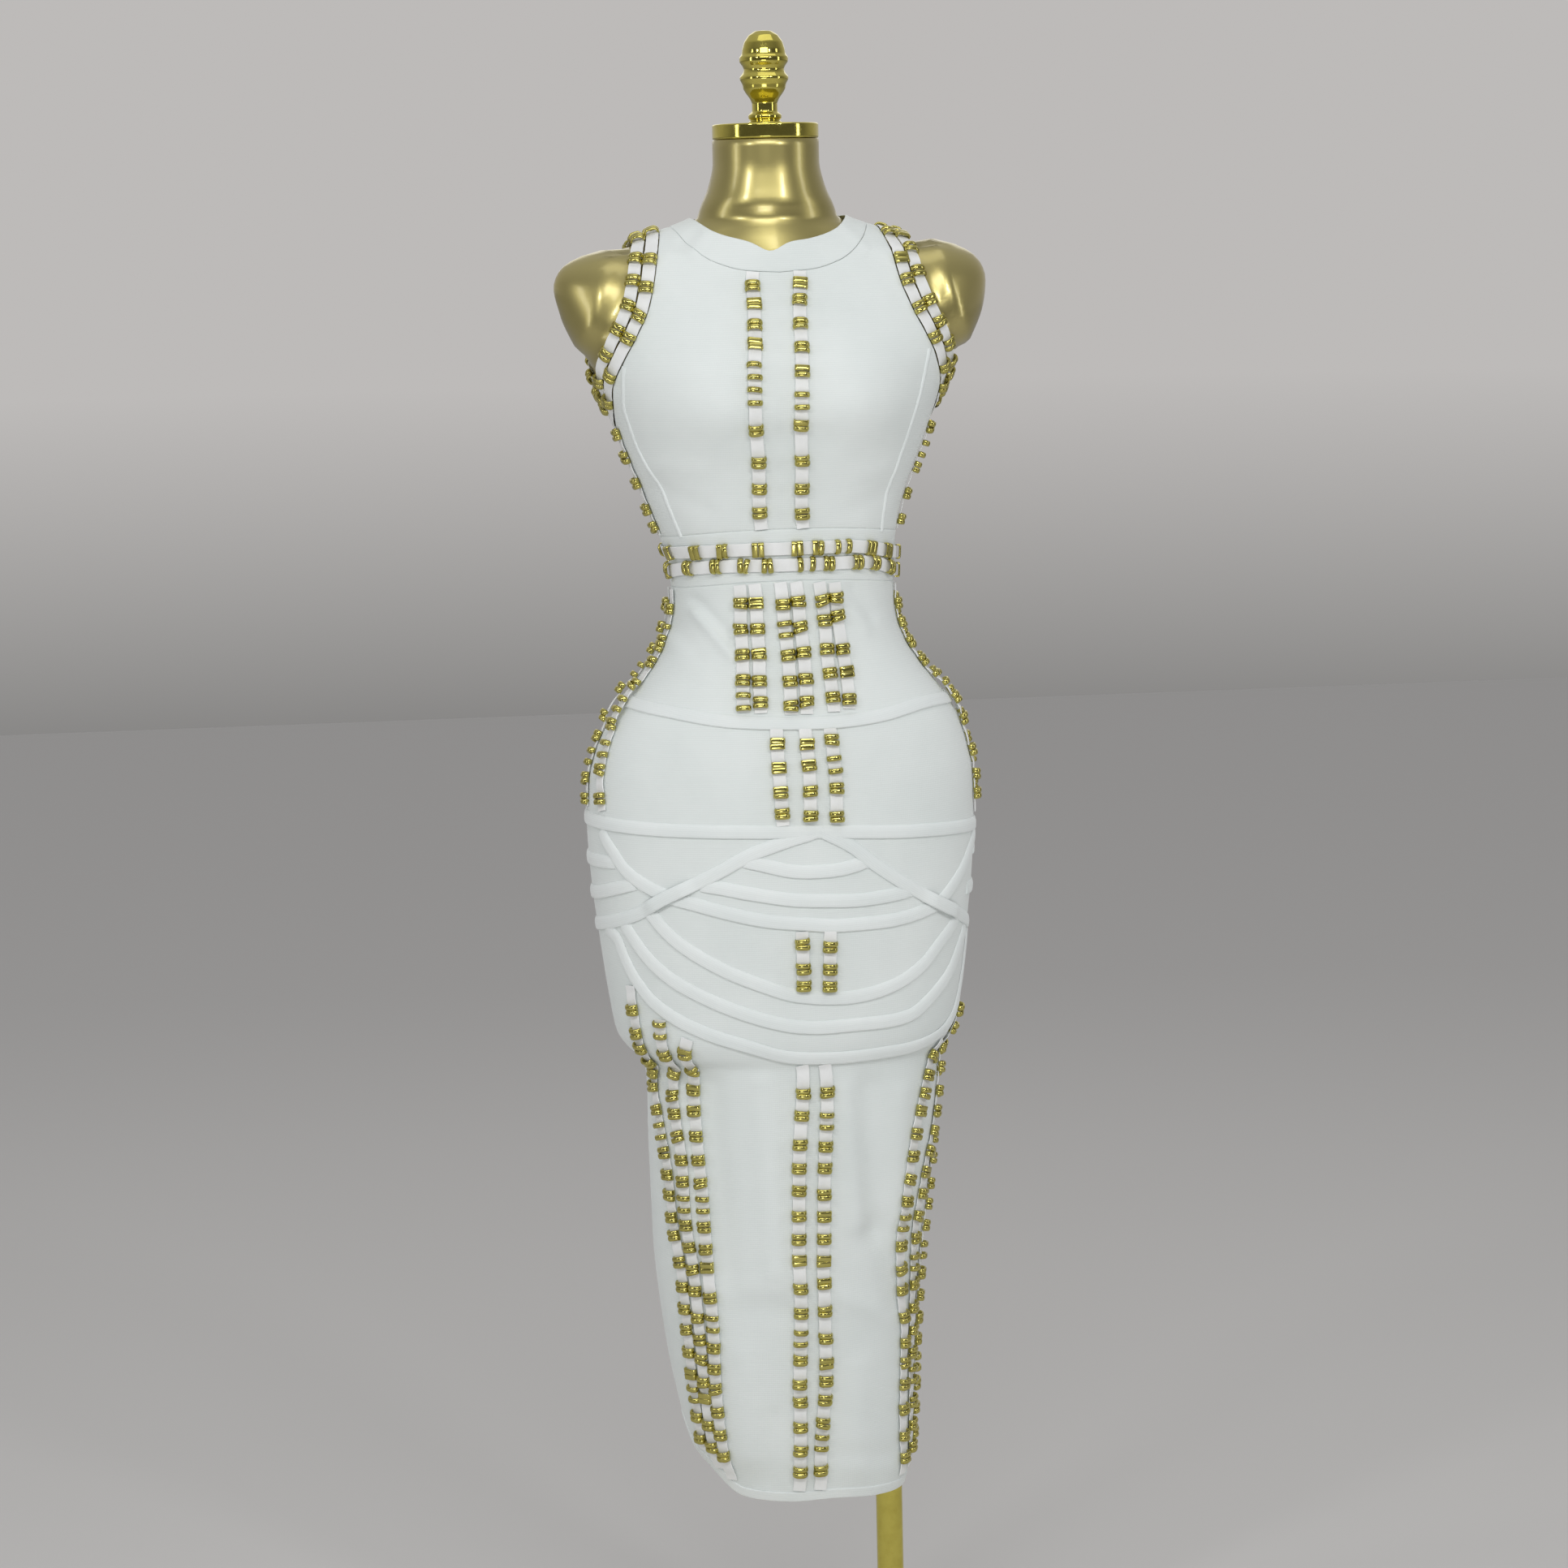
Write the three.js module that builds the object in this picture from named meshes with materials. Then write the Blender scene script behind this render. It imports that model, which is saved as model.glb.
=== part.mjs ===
// A sleeveless bandage dress with rows of metal sliders, worn on a limbless dress form.
// Millimetres, +Z up, the front faces -Y and +X is the viewer's right.
// The origin is the centre of the base plate's underside.
// Angles run round the body: 0 at centre front, 90 at the right side, 180 at centre back.
import * as THREE from 'three';

// Driving dimensions
const clothWall = 1.3;         // knitted cloth
const formClearance = 2.8;     // from the form to the cloth
// More of it over the sharp bend of the shoulders, and beside the armholes.
const moreClearance = [
  { z: 1384, rise: 2, flat: 14, reach: 34 },
  { z: 1248, rise: 0.8, flat: 12, reach: 40 },
];
const formEdge = { inset: 9, height: 20 };
const seamGap = 0.3;           // between pieces that are sewn together
const curvedSeamGap = 0.7;     // the same where the seam is curved
const neckSeamGap = 1.3;       // and where it bends over the shoulder
const bandWidth = 10.4;        // raised bandage bands
const bandRise = 1.8;
const bandLift = 0.6;          // from the cloth to the band's underside
const strapThick = 1.2;        // threaded elastic straps
const strapTopSag = 0.8;       // most that a straight stretch of its top dips
const strapWidth = 12;
const strapLift = 0.95;        // from the cloth to the strap's underside
// How far a strip lifts where it passes over a band, and where it bridges the step under the form.
const crossing = { rise: 3.6, flat: 14, reach: 30 };
// A strap's sewn ends sink to the cloth.
const sewnEnd = { rise: -0.75, flat: 4, reach: 12 };
const ledgeBridge = { rise: 0.9, flat: 8, reach: 26, closeReach: 34 };
const sliderLength = 11;       // a touching pair of slider loops, along the strap
const sliderSlope = 1.4;
const sliderWidth = 13.6;
const sliderHeight = 5.4;
const straightPitch = 40;      // between the points of a strap's underside
const curvedPitch = 15;
const armholeStrapLift = 0.8;
const ringLift = 1.25;         // the waist's straps, over its bend
const armholeStrapGap = 1.2;   // between a strap's own two ends at the underarm
const neckCap = { radius: 48.5, bottom: 1470.3, height: 13.7 };
const pole = { radius: 12.5, x: 89, flangeRadius: 30, flangeHeight: 5 };
const base = { radius: 170, height: 12, edge: 4 };
const formBottom = 634;
const formTop = 1470;
const hemHeight = 228;
const meanRadius = 120;        // turns an angle into a length round the body
const waistSeam = { low: 1069, high: 1115 };
const closureX = 0.25;         // half the gap where the back closes over its concealed zip
const shoulderSeamX = 90;      // where the neckband's seam meets the shoulder
const neckSideX = 71;          // where the neckline meets the shoulder
const underarm = 1212;
const armholeBlend = 90;       // above it, where the bodice's columns turn toward the shoulder
const shoulderSearch = { low: 1330, high: 1393, steps: 40 };

// Horizontal sections of the cloth's inner face: half width, depth in front of and behind
// the middle, shift of the middle, and the power of the superellipse (2 is an ellipse).
const sectionColumns = ['z', 'half', 'front', 'back', 'centre', 'power'];
const sections = [
  [215, 90, 70, 72, 12, 2.1],
  [235, 96, 74, 76, 11, 2.1],
  [262, 103, 78, 80, 6, 2.1],
  [300, 109, 81, 84, 2, 2.1],
  [360, 116, 85, 88, -2, 2.1],
  [430, 123, 89, 93, -3, 2.1],
  [500, 128.5, 92, 96, 0, 2.1],
  [560, 132.5, 94, 98, 3, 2.15],
  [605, 134.5, 95, 99, 5, 2.2],
  [628, 136, 97, 100, 4, 2.2],
  [640, 147, 102, 104, 1, 2.2],
  [654, 156, 106, 108, 0, 2.2],
  [685, 162, 109, 111, 0, 2.2],
  [745, 170, 112, 119, 0, 2.2],
  [800, 176, 113, 129, 0, 2.2],
  [850, 178.5, 113, 135, 0, 2.2],
  [890, 177, 111, 134, 1, 2.2],
  [915, 171, 109, 130, 2, 2.2],
  [940, 161, 106, 123, 4, 2.2],
  [965, 145, 101, 112, 5, 2.2],
  [990, 126, 96, 102, 5, 2.2],
  [1012, 112, 92, 95, 5, 2.2],
  [1035, 104, 89, 90, 5, 2.2],
  [1060, 101, 88, 87, 6, 2.2],
  [1085, 102, 88, 87, 6, 2.2],
  [1110, 107, 90, 89, 3, 2.2],
  [1150, 119, 95, 93, 0, 2.2],
  [1190, 135, 102, 96, 0, 2.2],
  [1228, 149, 109, 98, 0, 2.2],
  [1258, 163, 106, 98, 0, 2.15],
  [1285, 177, 97, 97, 1, 2.1],
  [1317, 191, 83, 93, 1, 1.95],
  [1340, 195, 74, 89, 0, 1.8],
  [1354, 190, 69, 86, 0, 1.7],
  [1366, 176, 65, 83, 0, 1.6],
  [1376, 142, 62, 79, 0, 1.5],
  [1389, 100, 58, 73, 0, 1.6],
  [1400, 71, 54, 66, 0, 1.8],
  [1412, 60, 51, 59, 0, 1.95],
  [1430, 52, 48, 53, 0, 2],
  [1450, 48, 46, 50, 0, 2],
  [1472, 48, 46, 50, 0, 2],
];
const bust = { x: 72, z: 1232, width: 44, above: 52, below: 44, fullness: 12 };

// Seams and edges in front view: distance from the middle, height.
const neckEdgeFront = [[0, 1370], [12, 1375], [24, 1378], [40, 1382], [56, 1389], [neckSideX, 1399.8]];
const neckEdgeBack = [[0, 1396], [40, 1397], [neckSideX, 1399.8]];
const neckSeamFront = [
  [0, 1350], [29, 1352], [57, 1360], [71, 1369], [80, 1378], [shoulderSeamX, 1392.6],
];
const neckSeamBack = [[0, 1374], [30, 1376], [60, 1382], [shoulderSeamX, 1392.6]];
// Height, distance from the middle.
const armholeEdge = [
  [underarm, 142.8], [1218, 144.5], [1230, 147], [1248, 149], [1274, 141], [1292, 132],
  [1317, 119.5], [1342, 111.5], [1364, 107], [1389, 100],
];
// Height, angle.
const princessLeft = [
  [1112, 59], [1150, 61], [1175, 64.5], [1200, 68.5], [1226, 68], [1250, 61.5], [1276, 53.5],
];
const princessRight = [[1112, 52], [1160, 51.5], [1200, 53], [1230, 53.5], [1250, 52.5], [1286, 49]];
const princessTip = { left: 1270, right: 1279 };
// Angle, height: the seam between hip and lower skirt, under the lowest curved band.
const lowerSeam = [
  [-180, 744], [-135, 748], [-90, 757], [-76, 757], [-68, 750], [-63.5, 729], [-56, 703],
  [-46, 684], [-31, 666], [-16, 653], [-4, 642], [9, 639], [29, 640], [45, 642], [60, 650],
  [71, 664], [77, 685], [81, 710], [84, 733], [90, 743], [135, 744], [180, 744],
];

// Raised bands: centre lines as angle and height, or as front-view x and height.
const hipBand1 = [
  [-180, 958], [-90, 963], [-50, 958], [-20, 949], [8, 946], [25, 949], [50, 957], [90, 956],
  [180, 958],
];
const hipBand2 = [[-180, 850], [-90, 856], [-35, 852], [0, 849], [35, 843], [90, 839], [180, 850]];
const crossBand = [
  [-6, 837], [-12, 830], [-24, 811], [-40, 791], [-56, 772], [-90, 757], [-135, 748], [-180, 744],
  [-225, 744], [-270, 743], [-309, 770], [-322, 786], [-332, 802], [-340, 818], [-346, 833],
];
const arc3 = [
  [-69, 842], [-63, 828], [-58, 815], [-51, 804], [-39, 791], [-29, 784], [-19, 776], [-9, 769],
  [0, 765], [8, 762], [17, 762], [28, 763], [38, 767], [48, 774], [55, 786], [63, 801], [70, 816],
  [76, 827],
];
const arcsInFrontView = {
  arc_1: [[-37, 821], [-26, 818], [-4, 813], [15, 812], [36, 813], [48, 815]],
  arc_2: [[-68, 799], [-50, 795], [-34, 792], [-5, 787], [25, 785], [55, 784], [84, 786]],
  arc_4: [
    [-123, 764], [-107, 748], [-71, 725], [-37, 710], [-5, 699], [28, 695], [58, 696], [90, 704],
    [115, 718], [134, 737], [145, 748],
  ],
  arc_5: [
    [-147, 753], [-136, 736], [-119, 718], [-97, 704], [-61, 687], [-26, 675], [6, 669], [50, 669],
    [88, 670], [106, 674], [126, 688], [145, 708], [157, 732],
  ],
};
const sideBands = {
  side_band_1: [[-66, 819], [-120, 817], [-180, 815], [-240, 815], [-278, 815]],
  side_band_2: [[-57, 787], [-120, 783], [-180, 781], [-240, 781], [-290, 781]],
};

// Straps: route, first and last slider height (or every slider's angle on the waist rings), count.
const strapsInFrontView = [
  { name: 'bust_left', curved: true, first: 1333, last: 1130, count: 10,
    route: [[-24, 1346], [-27, 1300], [-29, 1240], [-27, 1180], [-25, 1119]] },
  { name: 'bust_right', curved: true, first: 1336, last: 1133, count: 10,
    route: [[18, 1346], [15, 1290], [11, 1215], [12, 1155], [13, 1119]] },
  { name: 'waist_1_left', first: 1055, last: 967, count: 5,
    route: [[-45, 1066], [-43.6, 1031], [-45, 957]] },
  { name: 'waist_1_right', first: 1055, last: 966, count: 5,
    route: [[-30.4, 1066], [-29, 1031], [-30, 956]] },
  { name: 'waist_2_left', first: 1053, last: 963, count: 5,
    route: [[-7, 1066], [-4, 1025], [-3, 954]] },
  { name: 'waist_2_right', first: 1055, last: 965, count: 5,
    route: [[7.6, 1066], [10.6, 1025], [11.6, 954]] },
  { name: 'waist_3_left', first: 1056, last: 968, count: 5,
    route: [[28.4, 1066], [32, 1025], [36, 955]] },
  { name: 'waist_3_right', first: 1058, last: 967, count: 5,
    route: [[43.2, 1066], [46.8, 1025], [50.8, 957]] },
  { name: 'hip_column_1', curved: true, first: 928, last: 867, count: 4,
    route: [[-17, 938], [-14, 858]] },
  { name: 'hip_column_2', curved: true, first: 928, last: 864, count: 4, route: [[9, 938], [11, 857]] },
  { name: 'hip_column_3', curved: true, first: 930, last: 862, count: 4,
    route: [[32, 939], [36, 855]] },
  { name: 'low_hip_left', first: 745, last: 710, count: 3, route: [[1, 756], [2, 706]] },
  { name: 'low_hip_right', first: 744, last: 708, count: 3, route: [[27, 754], [25, 702]] },
  { name: 'skirt_centre_left', first: 608, last: 246, count: 17,
    route: [[-1, 630], [-3, 468], [-7, 240]] },
  { name: 'skirt_centre_right', first: 606, last: 246, count: 18,
    route: [[21, 630], [19, 446], [17, 293], [12, 240]] },
];
const strapsByAngle = [
  { name: 'side_seam_left', first: 1202, last: 1126, count: 4, route: [[-84, 1208], [-85, 1119]] },
  { name: 'side_seam_right', first: 1202, last: 1128, count: 4, route: [[80, 1208], [80, 1119]] },
  { name: 'hip_side_left_front', curved: true, first: 1050, last: 872, count: 9, over: 959,
    route: [[-84, 1064], [-82, 1000], [-80, 950], [-75, 866]] },
  { name: 'hip_side_left_rear', curved: true, first: 1044, last: 870, count: 9, over: 961,
    route: [[-99, 1064], [-98, 1000], [-95, 950], [-88, 866]] },
  { name: 'hip_side_right_front', curved: true, first: 1046, last: 862, count: 9, over: 957,
    route: [[78, 1064], [78, 1000], [79, 950], [80, 850]] },
  { name: 'hip_side_right_rear', curved: true, first: 1046, last: 862, count: 9, over: 957,
    route: [[94, 1064], [94, 1000], [93, 950], [92, 850]] },
  { name: 'skirt_left_1', ledge: true, first: 680, last: 271, count: 20,
    route: [[-65, 706], [-70, 645], [-75, 618], [-68, 565], [-63, 485], [-60, 420], [-61, 360],
      [-65, 316], [-69, 258]] },
  { name: 'skirt_left_2', ledge: true, first: 668, last: 262, count: 19,
    route: [[-50, 677], [-59, 624], [-54, 541], [-51, 460], [-50, 393], [-53, 333], [-57, 250]] },
  { name: 'skirt_left_3', ledge: true, first: 647, last: 257, count: 18,
    route: [[-40, 660], [-46, 588], [-44, 508], [-42, 441], [-43, 366], [-45, 300], [-46, 240]] },
  { name: 'skirt_right_1', ledge: true, first: 624, last: 241, count: 18,
    route: [[70, 638], [58, 595], [52, 535], [52, 470], [56, 400], [61, 330], [64, 234]] },
  { name: 'skirt_right_2', ledge: true, first: 632, last: 248, count: 18,
    route: [[85, 648], [77, 585], [71, 532], [67, 470], [71, 385], [76, 330], [79, 236]] },
  { name: 'skirt_right_3', ledge: true, first: 662, last: 248, count: 19,
    route: [[90, 676], [100, 632], [92, 585], [88, 520], [84, 455], [86, 385], [91, 330], [94, 238]] },
];
const waistRings = {
  waist_ring_upper: { height: 1101.8, sliders: [-84, -51, -36, -16, 1, 20, 42, 61, 82] },
  waist_ring_lower: { height: 1086, sliders: [-84, -69, -39, -24, -9, 5, 17, 32, 47, 64, 84] },
};
const backRingSliders = [-145, -110, 110, 145];
const armholeStraps = { inner: { inset: 7.4, pitch: 26 }, outer: { inset: 22.4, pitch: 21.7 } };

// Finial profile: radius, height above the neck cap.
const finialProfile = [
  [15.4, 0], [15.4, 9.5], [12, 10], [12, 19], [13.5, 24], [19, 32], [22.2, 40], [22.2, 43],
  [18.2, 48], [18.2, 51], [22.2, 55], [22.2, 61], [18.5, 66], [15, 76], [8, 82], [0, 84],
];

function material(color, roughness, metalness = 0) {
  return new THREE.MeshStandardMaterial({ color, roughness, metalness });
}
const knit = material(0xdde3df, 0.75);
const elastic = material(0xf1eff1, 0.6);
const satinGold = material(0xa5964b, 0.35, 0.6);
const polishedGold = material(0xb4a446, 0.18, 0.9);
const rad = Math.PI / 180;
const group = new THREE.Group();

// A smooth curve through rows of [position, value, value...] that never overshoots its rows.
function curve(rows) {
  const last = rows.length - 1;
  const slope = (k, c) => (rows[k + 1][c] - rows[k][c]) / (rows[k + 1][0] - rows[k][0]);
  const tangent = (k, c) => {
    if (k === 0) return slope(0, c);
    if (k === last) return slope(last - 1, c);
    const before = slope(k - 1, c);
    const after = slope(k, c);
    if (before * after <= 0) return 0;
    const wide = rows[k + 1][0] - rows[k][0];
    const narrow = rows[k][0] - rows[k - 1][0];
    return 3 * (wide + narrow) / ((2 * wide + narrow) / before + (wide + 2 * narrow) / after);
  };
  return (position) => {
    let k = 0;
    while (k < last - 1 && rows[k + 1][0] < position) k += 1;
    const h = rows[k + 1][0] - rows[k][0];
    const t = Math.min(Math.max((position - rows[k][0]) / h, 0), 1);
    const values = [];
    for (let c = 1; c < rows[k].length; c += 1) {
      values.push((2 * t ** 3 - 3 * t ** 2 + 1) * rows[k][c] + (t ** 3 - 2 * t ** 2 + t) * h * tangent(k, c)
        + (3 * t ** 2 - 2 * t ** 3) * rows[k + 1][c] + (t ** 3 - t ** 2) * h * tangent(k + 1, c));
    }
    return values.length === 1 ? values[0] : values;
  };
}

// The body
const sectionCurve = curve(sections);
function sectionAt(z) {
  const values = sectionCurve(z);
  return Object.fromEntries(sectionColumns.slice(1).map((column, k) => [column, values[k]]));
}
function bustDepth(x, z) {
  const rise = (z - bust.z) / (z > bust.z ? bust.above : bust.below);
  const cup = (side) => Math.exp(-(((x - side * bust.x) / bust.width) ** 2) - rise ** 2);
  return bust.fullness * (cup(-1) + cup(1));
}
function bodyPoint(angle, z) {
  const { half, front, back, centre, power } = sectionAt(z);
  const s = Math.sin(angle);
  const c = Math.cos(angle);
  const x = centre + half * Math.sign(s) * Math.abs(s) ** (2 / power);
  const depth = (c > 0 ? front : back) * Math.abs(c) ** (2 / power);
  const cup = c > 0 ? bustDepth(x, z) * Math.sqrt(c) : 0;
  return new THREE.Vector3(x, -Math.sign(c) * depth - cup, z);
}
function bodyNormal(angle, z) {
  const turn = 0.02;
  const climb = 2;
  const around = bodyPoint(angle + turn, z).sub(bodyPoint(angle - turn, z));
  const up = bodyPoint(angle, z + climb).sub(bodyPoint(angle, z - climb));
  return around.cross(up).normalize();
}
const onBody = (angle, z, lift) => bodyPoint(angle, z).addScaledVector(bodyNormal(angle, z), lift);

// Angle of the point at a distance from the section's middle, no nearer the side than half a gap.
function angleAcross(distance, z, gap = seamGap) {
  const { half, front, power } = sectionAt(z);
  const across = Math.min(Math.abs(distance) / half, 1) ** (power / 2);
  const side = Math.acos((gap / 2 / front) ** (power / 2));
  return Math.sign(distance) * Math.min(Math.asin(across), side);
}
const angleAtX = (x, z) => angleAcross(x - sectionAt(z).centre, z);
const acrossAtAngle = (degrees, z) => {
  const { half, power } = sectionAt(z);
  return half * Math.sin(degrees * rad) ** (2 / power);
};
const sideAngle = angleAcross(Infinity, waistSeam.low);

// One closed body from points and faces; faces with more than three corners are fans.
function addSolid(name, points, faces, look) {
  const triangles = [];
  for (const face of faces) {
    for (let k = 1; k < face.length - 1; k += 1) triangles.push([face[0], face[k], face[k + 1]]);
  }
  let volume = 0;
  for (const [a, b, c] of triangles) volume += points[a].dot(points[b].clone().cross(points[c]));
  const index = triangles.flatMap(([a, b, c]) => (volume > 0 ? [a, b, c] : [a, c, b]));
  const geometry = new THREE.BufferGeometry();
  const coordinates = points.flatMap((p) => p.toArray());
  geometry.setAttribute('position', new THREE.Float32BufferAttribute(coordinates, 3));
  geometry.setIndex(index);
  geometry.computeVertexNormals();
  addMesh(name, geometry, look);
}
function addMesh(name, geometry, look) {
  const mesh = new THREE.Mesh(geometry, look);
  mesh.name = name;
  group.add(mesh);
}

// A cloth wall over a grid: place(u, v) gives angle and height for u and v from 0 to 1.
function addPanel(name, columns, rows, place, rowAt = (v) => v) {
  const points = [];
  for (const lift of [clothWall, 0]) {
    for (let j = 0; j <= rows; j += 1) {
      for (let i = 0; i <= columns; i += 1) {
        const { angle, z } = place(i / columns, rowAt(j / rows));
        points.push(onBody(angle, z, lift));
      }
    }
  }
  const stride = columns + 1;
  const inner = stride * (rows + 1);
  const faces = [];
  for (let j = 0; j < rows; j += 1) {
    for (let i = 0; i < columns; i += 1) {
      const k = j * stride + i;
      faces.push([k, k + 1, k + 1 + stride, k + stride]);
      faces.push([inner + k + stride, inner + k + 1 + stride, inner + k + 1, inner + k]);
    }
  }
  const rim = [];
  for (let i = 0; i < columns; i += 1) rim.push(i);
  for (let j = 0; j < rows; j += 1) rim.push(j * stride + columns);
  for (let i = columns; i > 0; i -= 1) rim.push(rows * stride + i);
  for (let j = rows; j > 0; j -= 1) rim.push(j * stride);
  rim.forEach((k, n) => {
    const next = rim[(n + 1) % rim.length];
    faces.push([next, k, inner + k, inner + next]);
  });
  addSolid(name, points, faces, knit);
}

// A route over the body as points of angle and height, walked by its true length.
function makeRoute(rows, lift, inFrontView = false, closed = false) {
  const knots = rows.map(([across, z]) => {
    const angle = inFrontView ? angleAtX(across, z) : across * rad;
    return new THREE.Vector3(angle * meanRadius, 0, z);
  });
  if (closed) knots.pop();
  const path = closed ? null : new THREE.CatmullRomCurve3(knots, false, 'centripetal');
  const loop = closed ? curve(rows) : null;
  const steps = 160;
  const stops = [];
  let length = 0;
  for (let k = 0; k <= steps; k += 1) {
    const t = k / steps;
    let stop;
    if (closed) {
      const angle = rows[0][0] + (rows[rows.length - 1][0] - rows[0][0]) * t;
      stop = { angle: angle * rad, z: loop(angle) };
    } else {
      const point = path.getPoint(t);
      stop = { angle: point.x / meanRadius, z: point.z };
    }
    stop.place = onBody(stop.angle, stop.z, lift);
    if (k > 0) length += stop.place.distanceTo(stops[k - 1].place);
    stop.s = length;
    stops.push(stop);
  }
  const at = (s) => {
    let k = 0;
    while (k < stops.length - 2 && stops[k + 1].s < s) k += 1;
    const t = (s - stops[k].s) / (stops[k + 1].s - stops[k].s);
    return {
      angle: stops[k].angle + (stops[k + 1].angle - stops[k].angle) * t,
      z: stops[k].z + (stops[k + 1].z - stops[k].z) * t,
    };
  };
  return { length, at, stops };
}

// Point beside and above the route: s along it, w across it, h above its lift.
function routePoint(route, lift, s, w, h) {
  const clamp = (value) => Math.min(Math.max(value, 0), route.length);
  const here = route.at(clamp(s));
  const before = route.at(clamp(s - 2));
  const after = route.at(clamp(s + 2));
  const normal = bodyNormal(here.angle, here.z);
  const along = onBody(after.angle, after.z, lift).sub(onBody(before.angle, before.z, lift)).normalize();
  const across = normal.clone().cross(along).normalize();
  return onBody(here.angle, here.z, lift + h).addScaledVector(across, w);
}

// A smooth rise near one place: whole within flat of it, and none beyond reach.
function riseNear(s, middle, { rise, flat, reach }) {
  const t = Math.min(Math.max((reach - Math.abs(s - middle)) / (reach - flat), 0), 1);
  return rise * t * t * (3 - 2 * t);
}

// A raised band: a low rounded section carried along its route.
function addBand(name, rows, { inFrontView = false, closed = false, crossings = [], pitch = 22 } = {}) {
  const lift = clothWall + bandLift;
  const route = makeRoute(rows, lift, inFrontView, closed);
  const count = Math.round(route.length / pitch);
  const half = bandWidth / 2;
  const profile = [[-half, 0], [-half * 0.7, bandRise], [half * 0.7, bandRise], [half, 0]];
  const middles = crossings.map((angle) => nearest(route, 'angle', angle * rad));
  const points = [];
  const stations = closed ? count : count + 1;
  for (let k = 0; k < stations; k += 1) {
    const s = route.length * k / count;
    const rise = Math.max(0, ...middles.map((middle) => riseNear(s, middle, crossing)));
    for (const [w, h] of profile) points.push(routePoint(route, lift, s, w, h + rise));
  }
  const sides = profile.length;
  const faces = [];
  for (let k = 0; k < count; k += 1) {
    const next = (k + 1) % stations;
    for (let i = 0; i < sides; i += 1) {
      const j = (i + 1) % sides;
      faces.push([k * sides + i, k * sides + j, next * sides + j, next * sides + i]);
    }
  }
  if (!closed) {
    const end = count * sides;
    faces.push([3, 2, 1, 0], [end, end + 1, end + 2, end + 3]);
  }
  addSolid(name, points, faces, knit);
}

// Short triangles over a strap's side: two for each slider, and a strip for the strap itself.
function sideTriangles(outline, topCount, sliderStarts) {
  const triangles = sliderStarts.flatMap((b) => [[b, b + 2, b + 1], [b, b + 3, b + 2]]);
  const raised = new Set(sliderStarts.flatMap((b) => [b + 1, b + 2]));
  const all = outline.map((_, k) => k);
  const strapTop = all.slice(0, topCount).filter((k) => !raised.has(k));
  const under = all.slice(topCount).reverse();
  let i = 0;
  let j = 0;
  while (i < strapTop.length - 1 || j < under.length - 1) {
    const nextTop = i < strapTop.length - 1 ? outline[strapTop[i + 1]][0] : Infinity;
    const nextUnder = j < under.length - 1 ? outline[under[j + 1]][0] : Infinity;
    if (nextTop < nextUnder) {
      triangles.push([strapTop[i], under[j], strapTop[i + 1]]);
      i += 1;
    } else {
      triangles.push([strapTop[i], under[j], under[j + 1]]);
      j += 1;
    }
  }
  return triangles;
}

// Distances between two sliders where the strap's top needs a point, so that it doesn't cut into
// the strap where the route bends.
function topBetween(route, lift, from, to) {
  const [a, middle, b] = [from, (from + to) / 2, to].map((s) => routePoint(route, lift, s, 0, 0));
  const sag = a.add(b).multiplyScalar(0.5).distanceTo(middle);
  const parts = Math.ceil(Math.sqrt(sag / strapTopSag));
  const found = [];
  for (let k = 1; k < parts; k += 1) found.push(from + (to - from) * k / parts);
  return found;
}
// A strap with its sliders: a side outline of strap and sliders, carried across the strap's width.
// Its underside has a point every basePitch, and closer ones within a tight place's reach.
function addStrap(name, route, lift, sliderPlaces, options) {
  const { basePitch, tight = [], rise = () => 0 } = options;
  const top = [[0, strapThick, strapWidth]];
  const sliderStarts = [];
  let reached = 0;
  const addTop = (to) => {
    for (const s of [...topBetween(route, lift, reached, to), to]) top.push([s, strapThick, strapWidth]);
  };
  for (const s of sliderPlaces) {
    addTop(s - sliderLength / 2);
    sliderStarts.push(top.length - 1);
    top.push([s - sliderLength / 2 + sliderSlope, sliderHeight, sliderWidth]);
    top.push([s + sliderLength / 2 - sliderSlope, sliderHeight, sliderWidth]);
    top.push([s + sliderLength / 2, strapThick, strapWidth]);
    reached = s + sliderLength / 2;
  }
  addTop(route.length);
  const under = [0];
  const closest = 8;
  const isTight = (s) => tight.some(({ middle, reach }) => Math.abs(s - middle) < reach);
  for (let s = closest; s < route.length - closest; s += closest) {
    const since = s - under[under.length - 1];
    if (isTight(s) || isTight(s + closest) || since >= basePitch) under.push(s);
  }
  under.push(route.length);
  const bottom = under.reverse().map((s) => [s, 0, strapWidth]);
  const outline = [...top, ...bottom];
  const cap = sideTriangles(outline, top.length, sliderStarts);
  const points = [];
  for (const side of [-1, 1]) {
    for (const [s, h, width] of outline) {
      points.push(routePoint(route, lift, s, side * width / 2, h + rise(s)));
    }
  }
  const count = outline.length;
  const faces = [];
  for (let k = 0; k < count; k += 1) {
    const next = (k + 1) % count;
    faces.push([k, next, count + next, count + k]);
  }
  for (const [a, b, c] of cap) faces.push([a, b, c], [count + c, count + b, count + a]);
  addSolid(name, points, faces, elastic);
}

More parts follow.
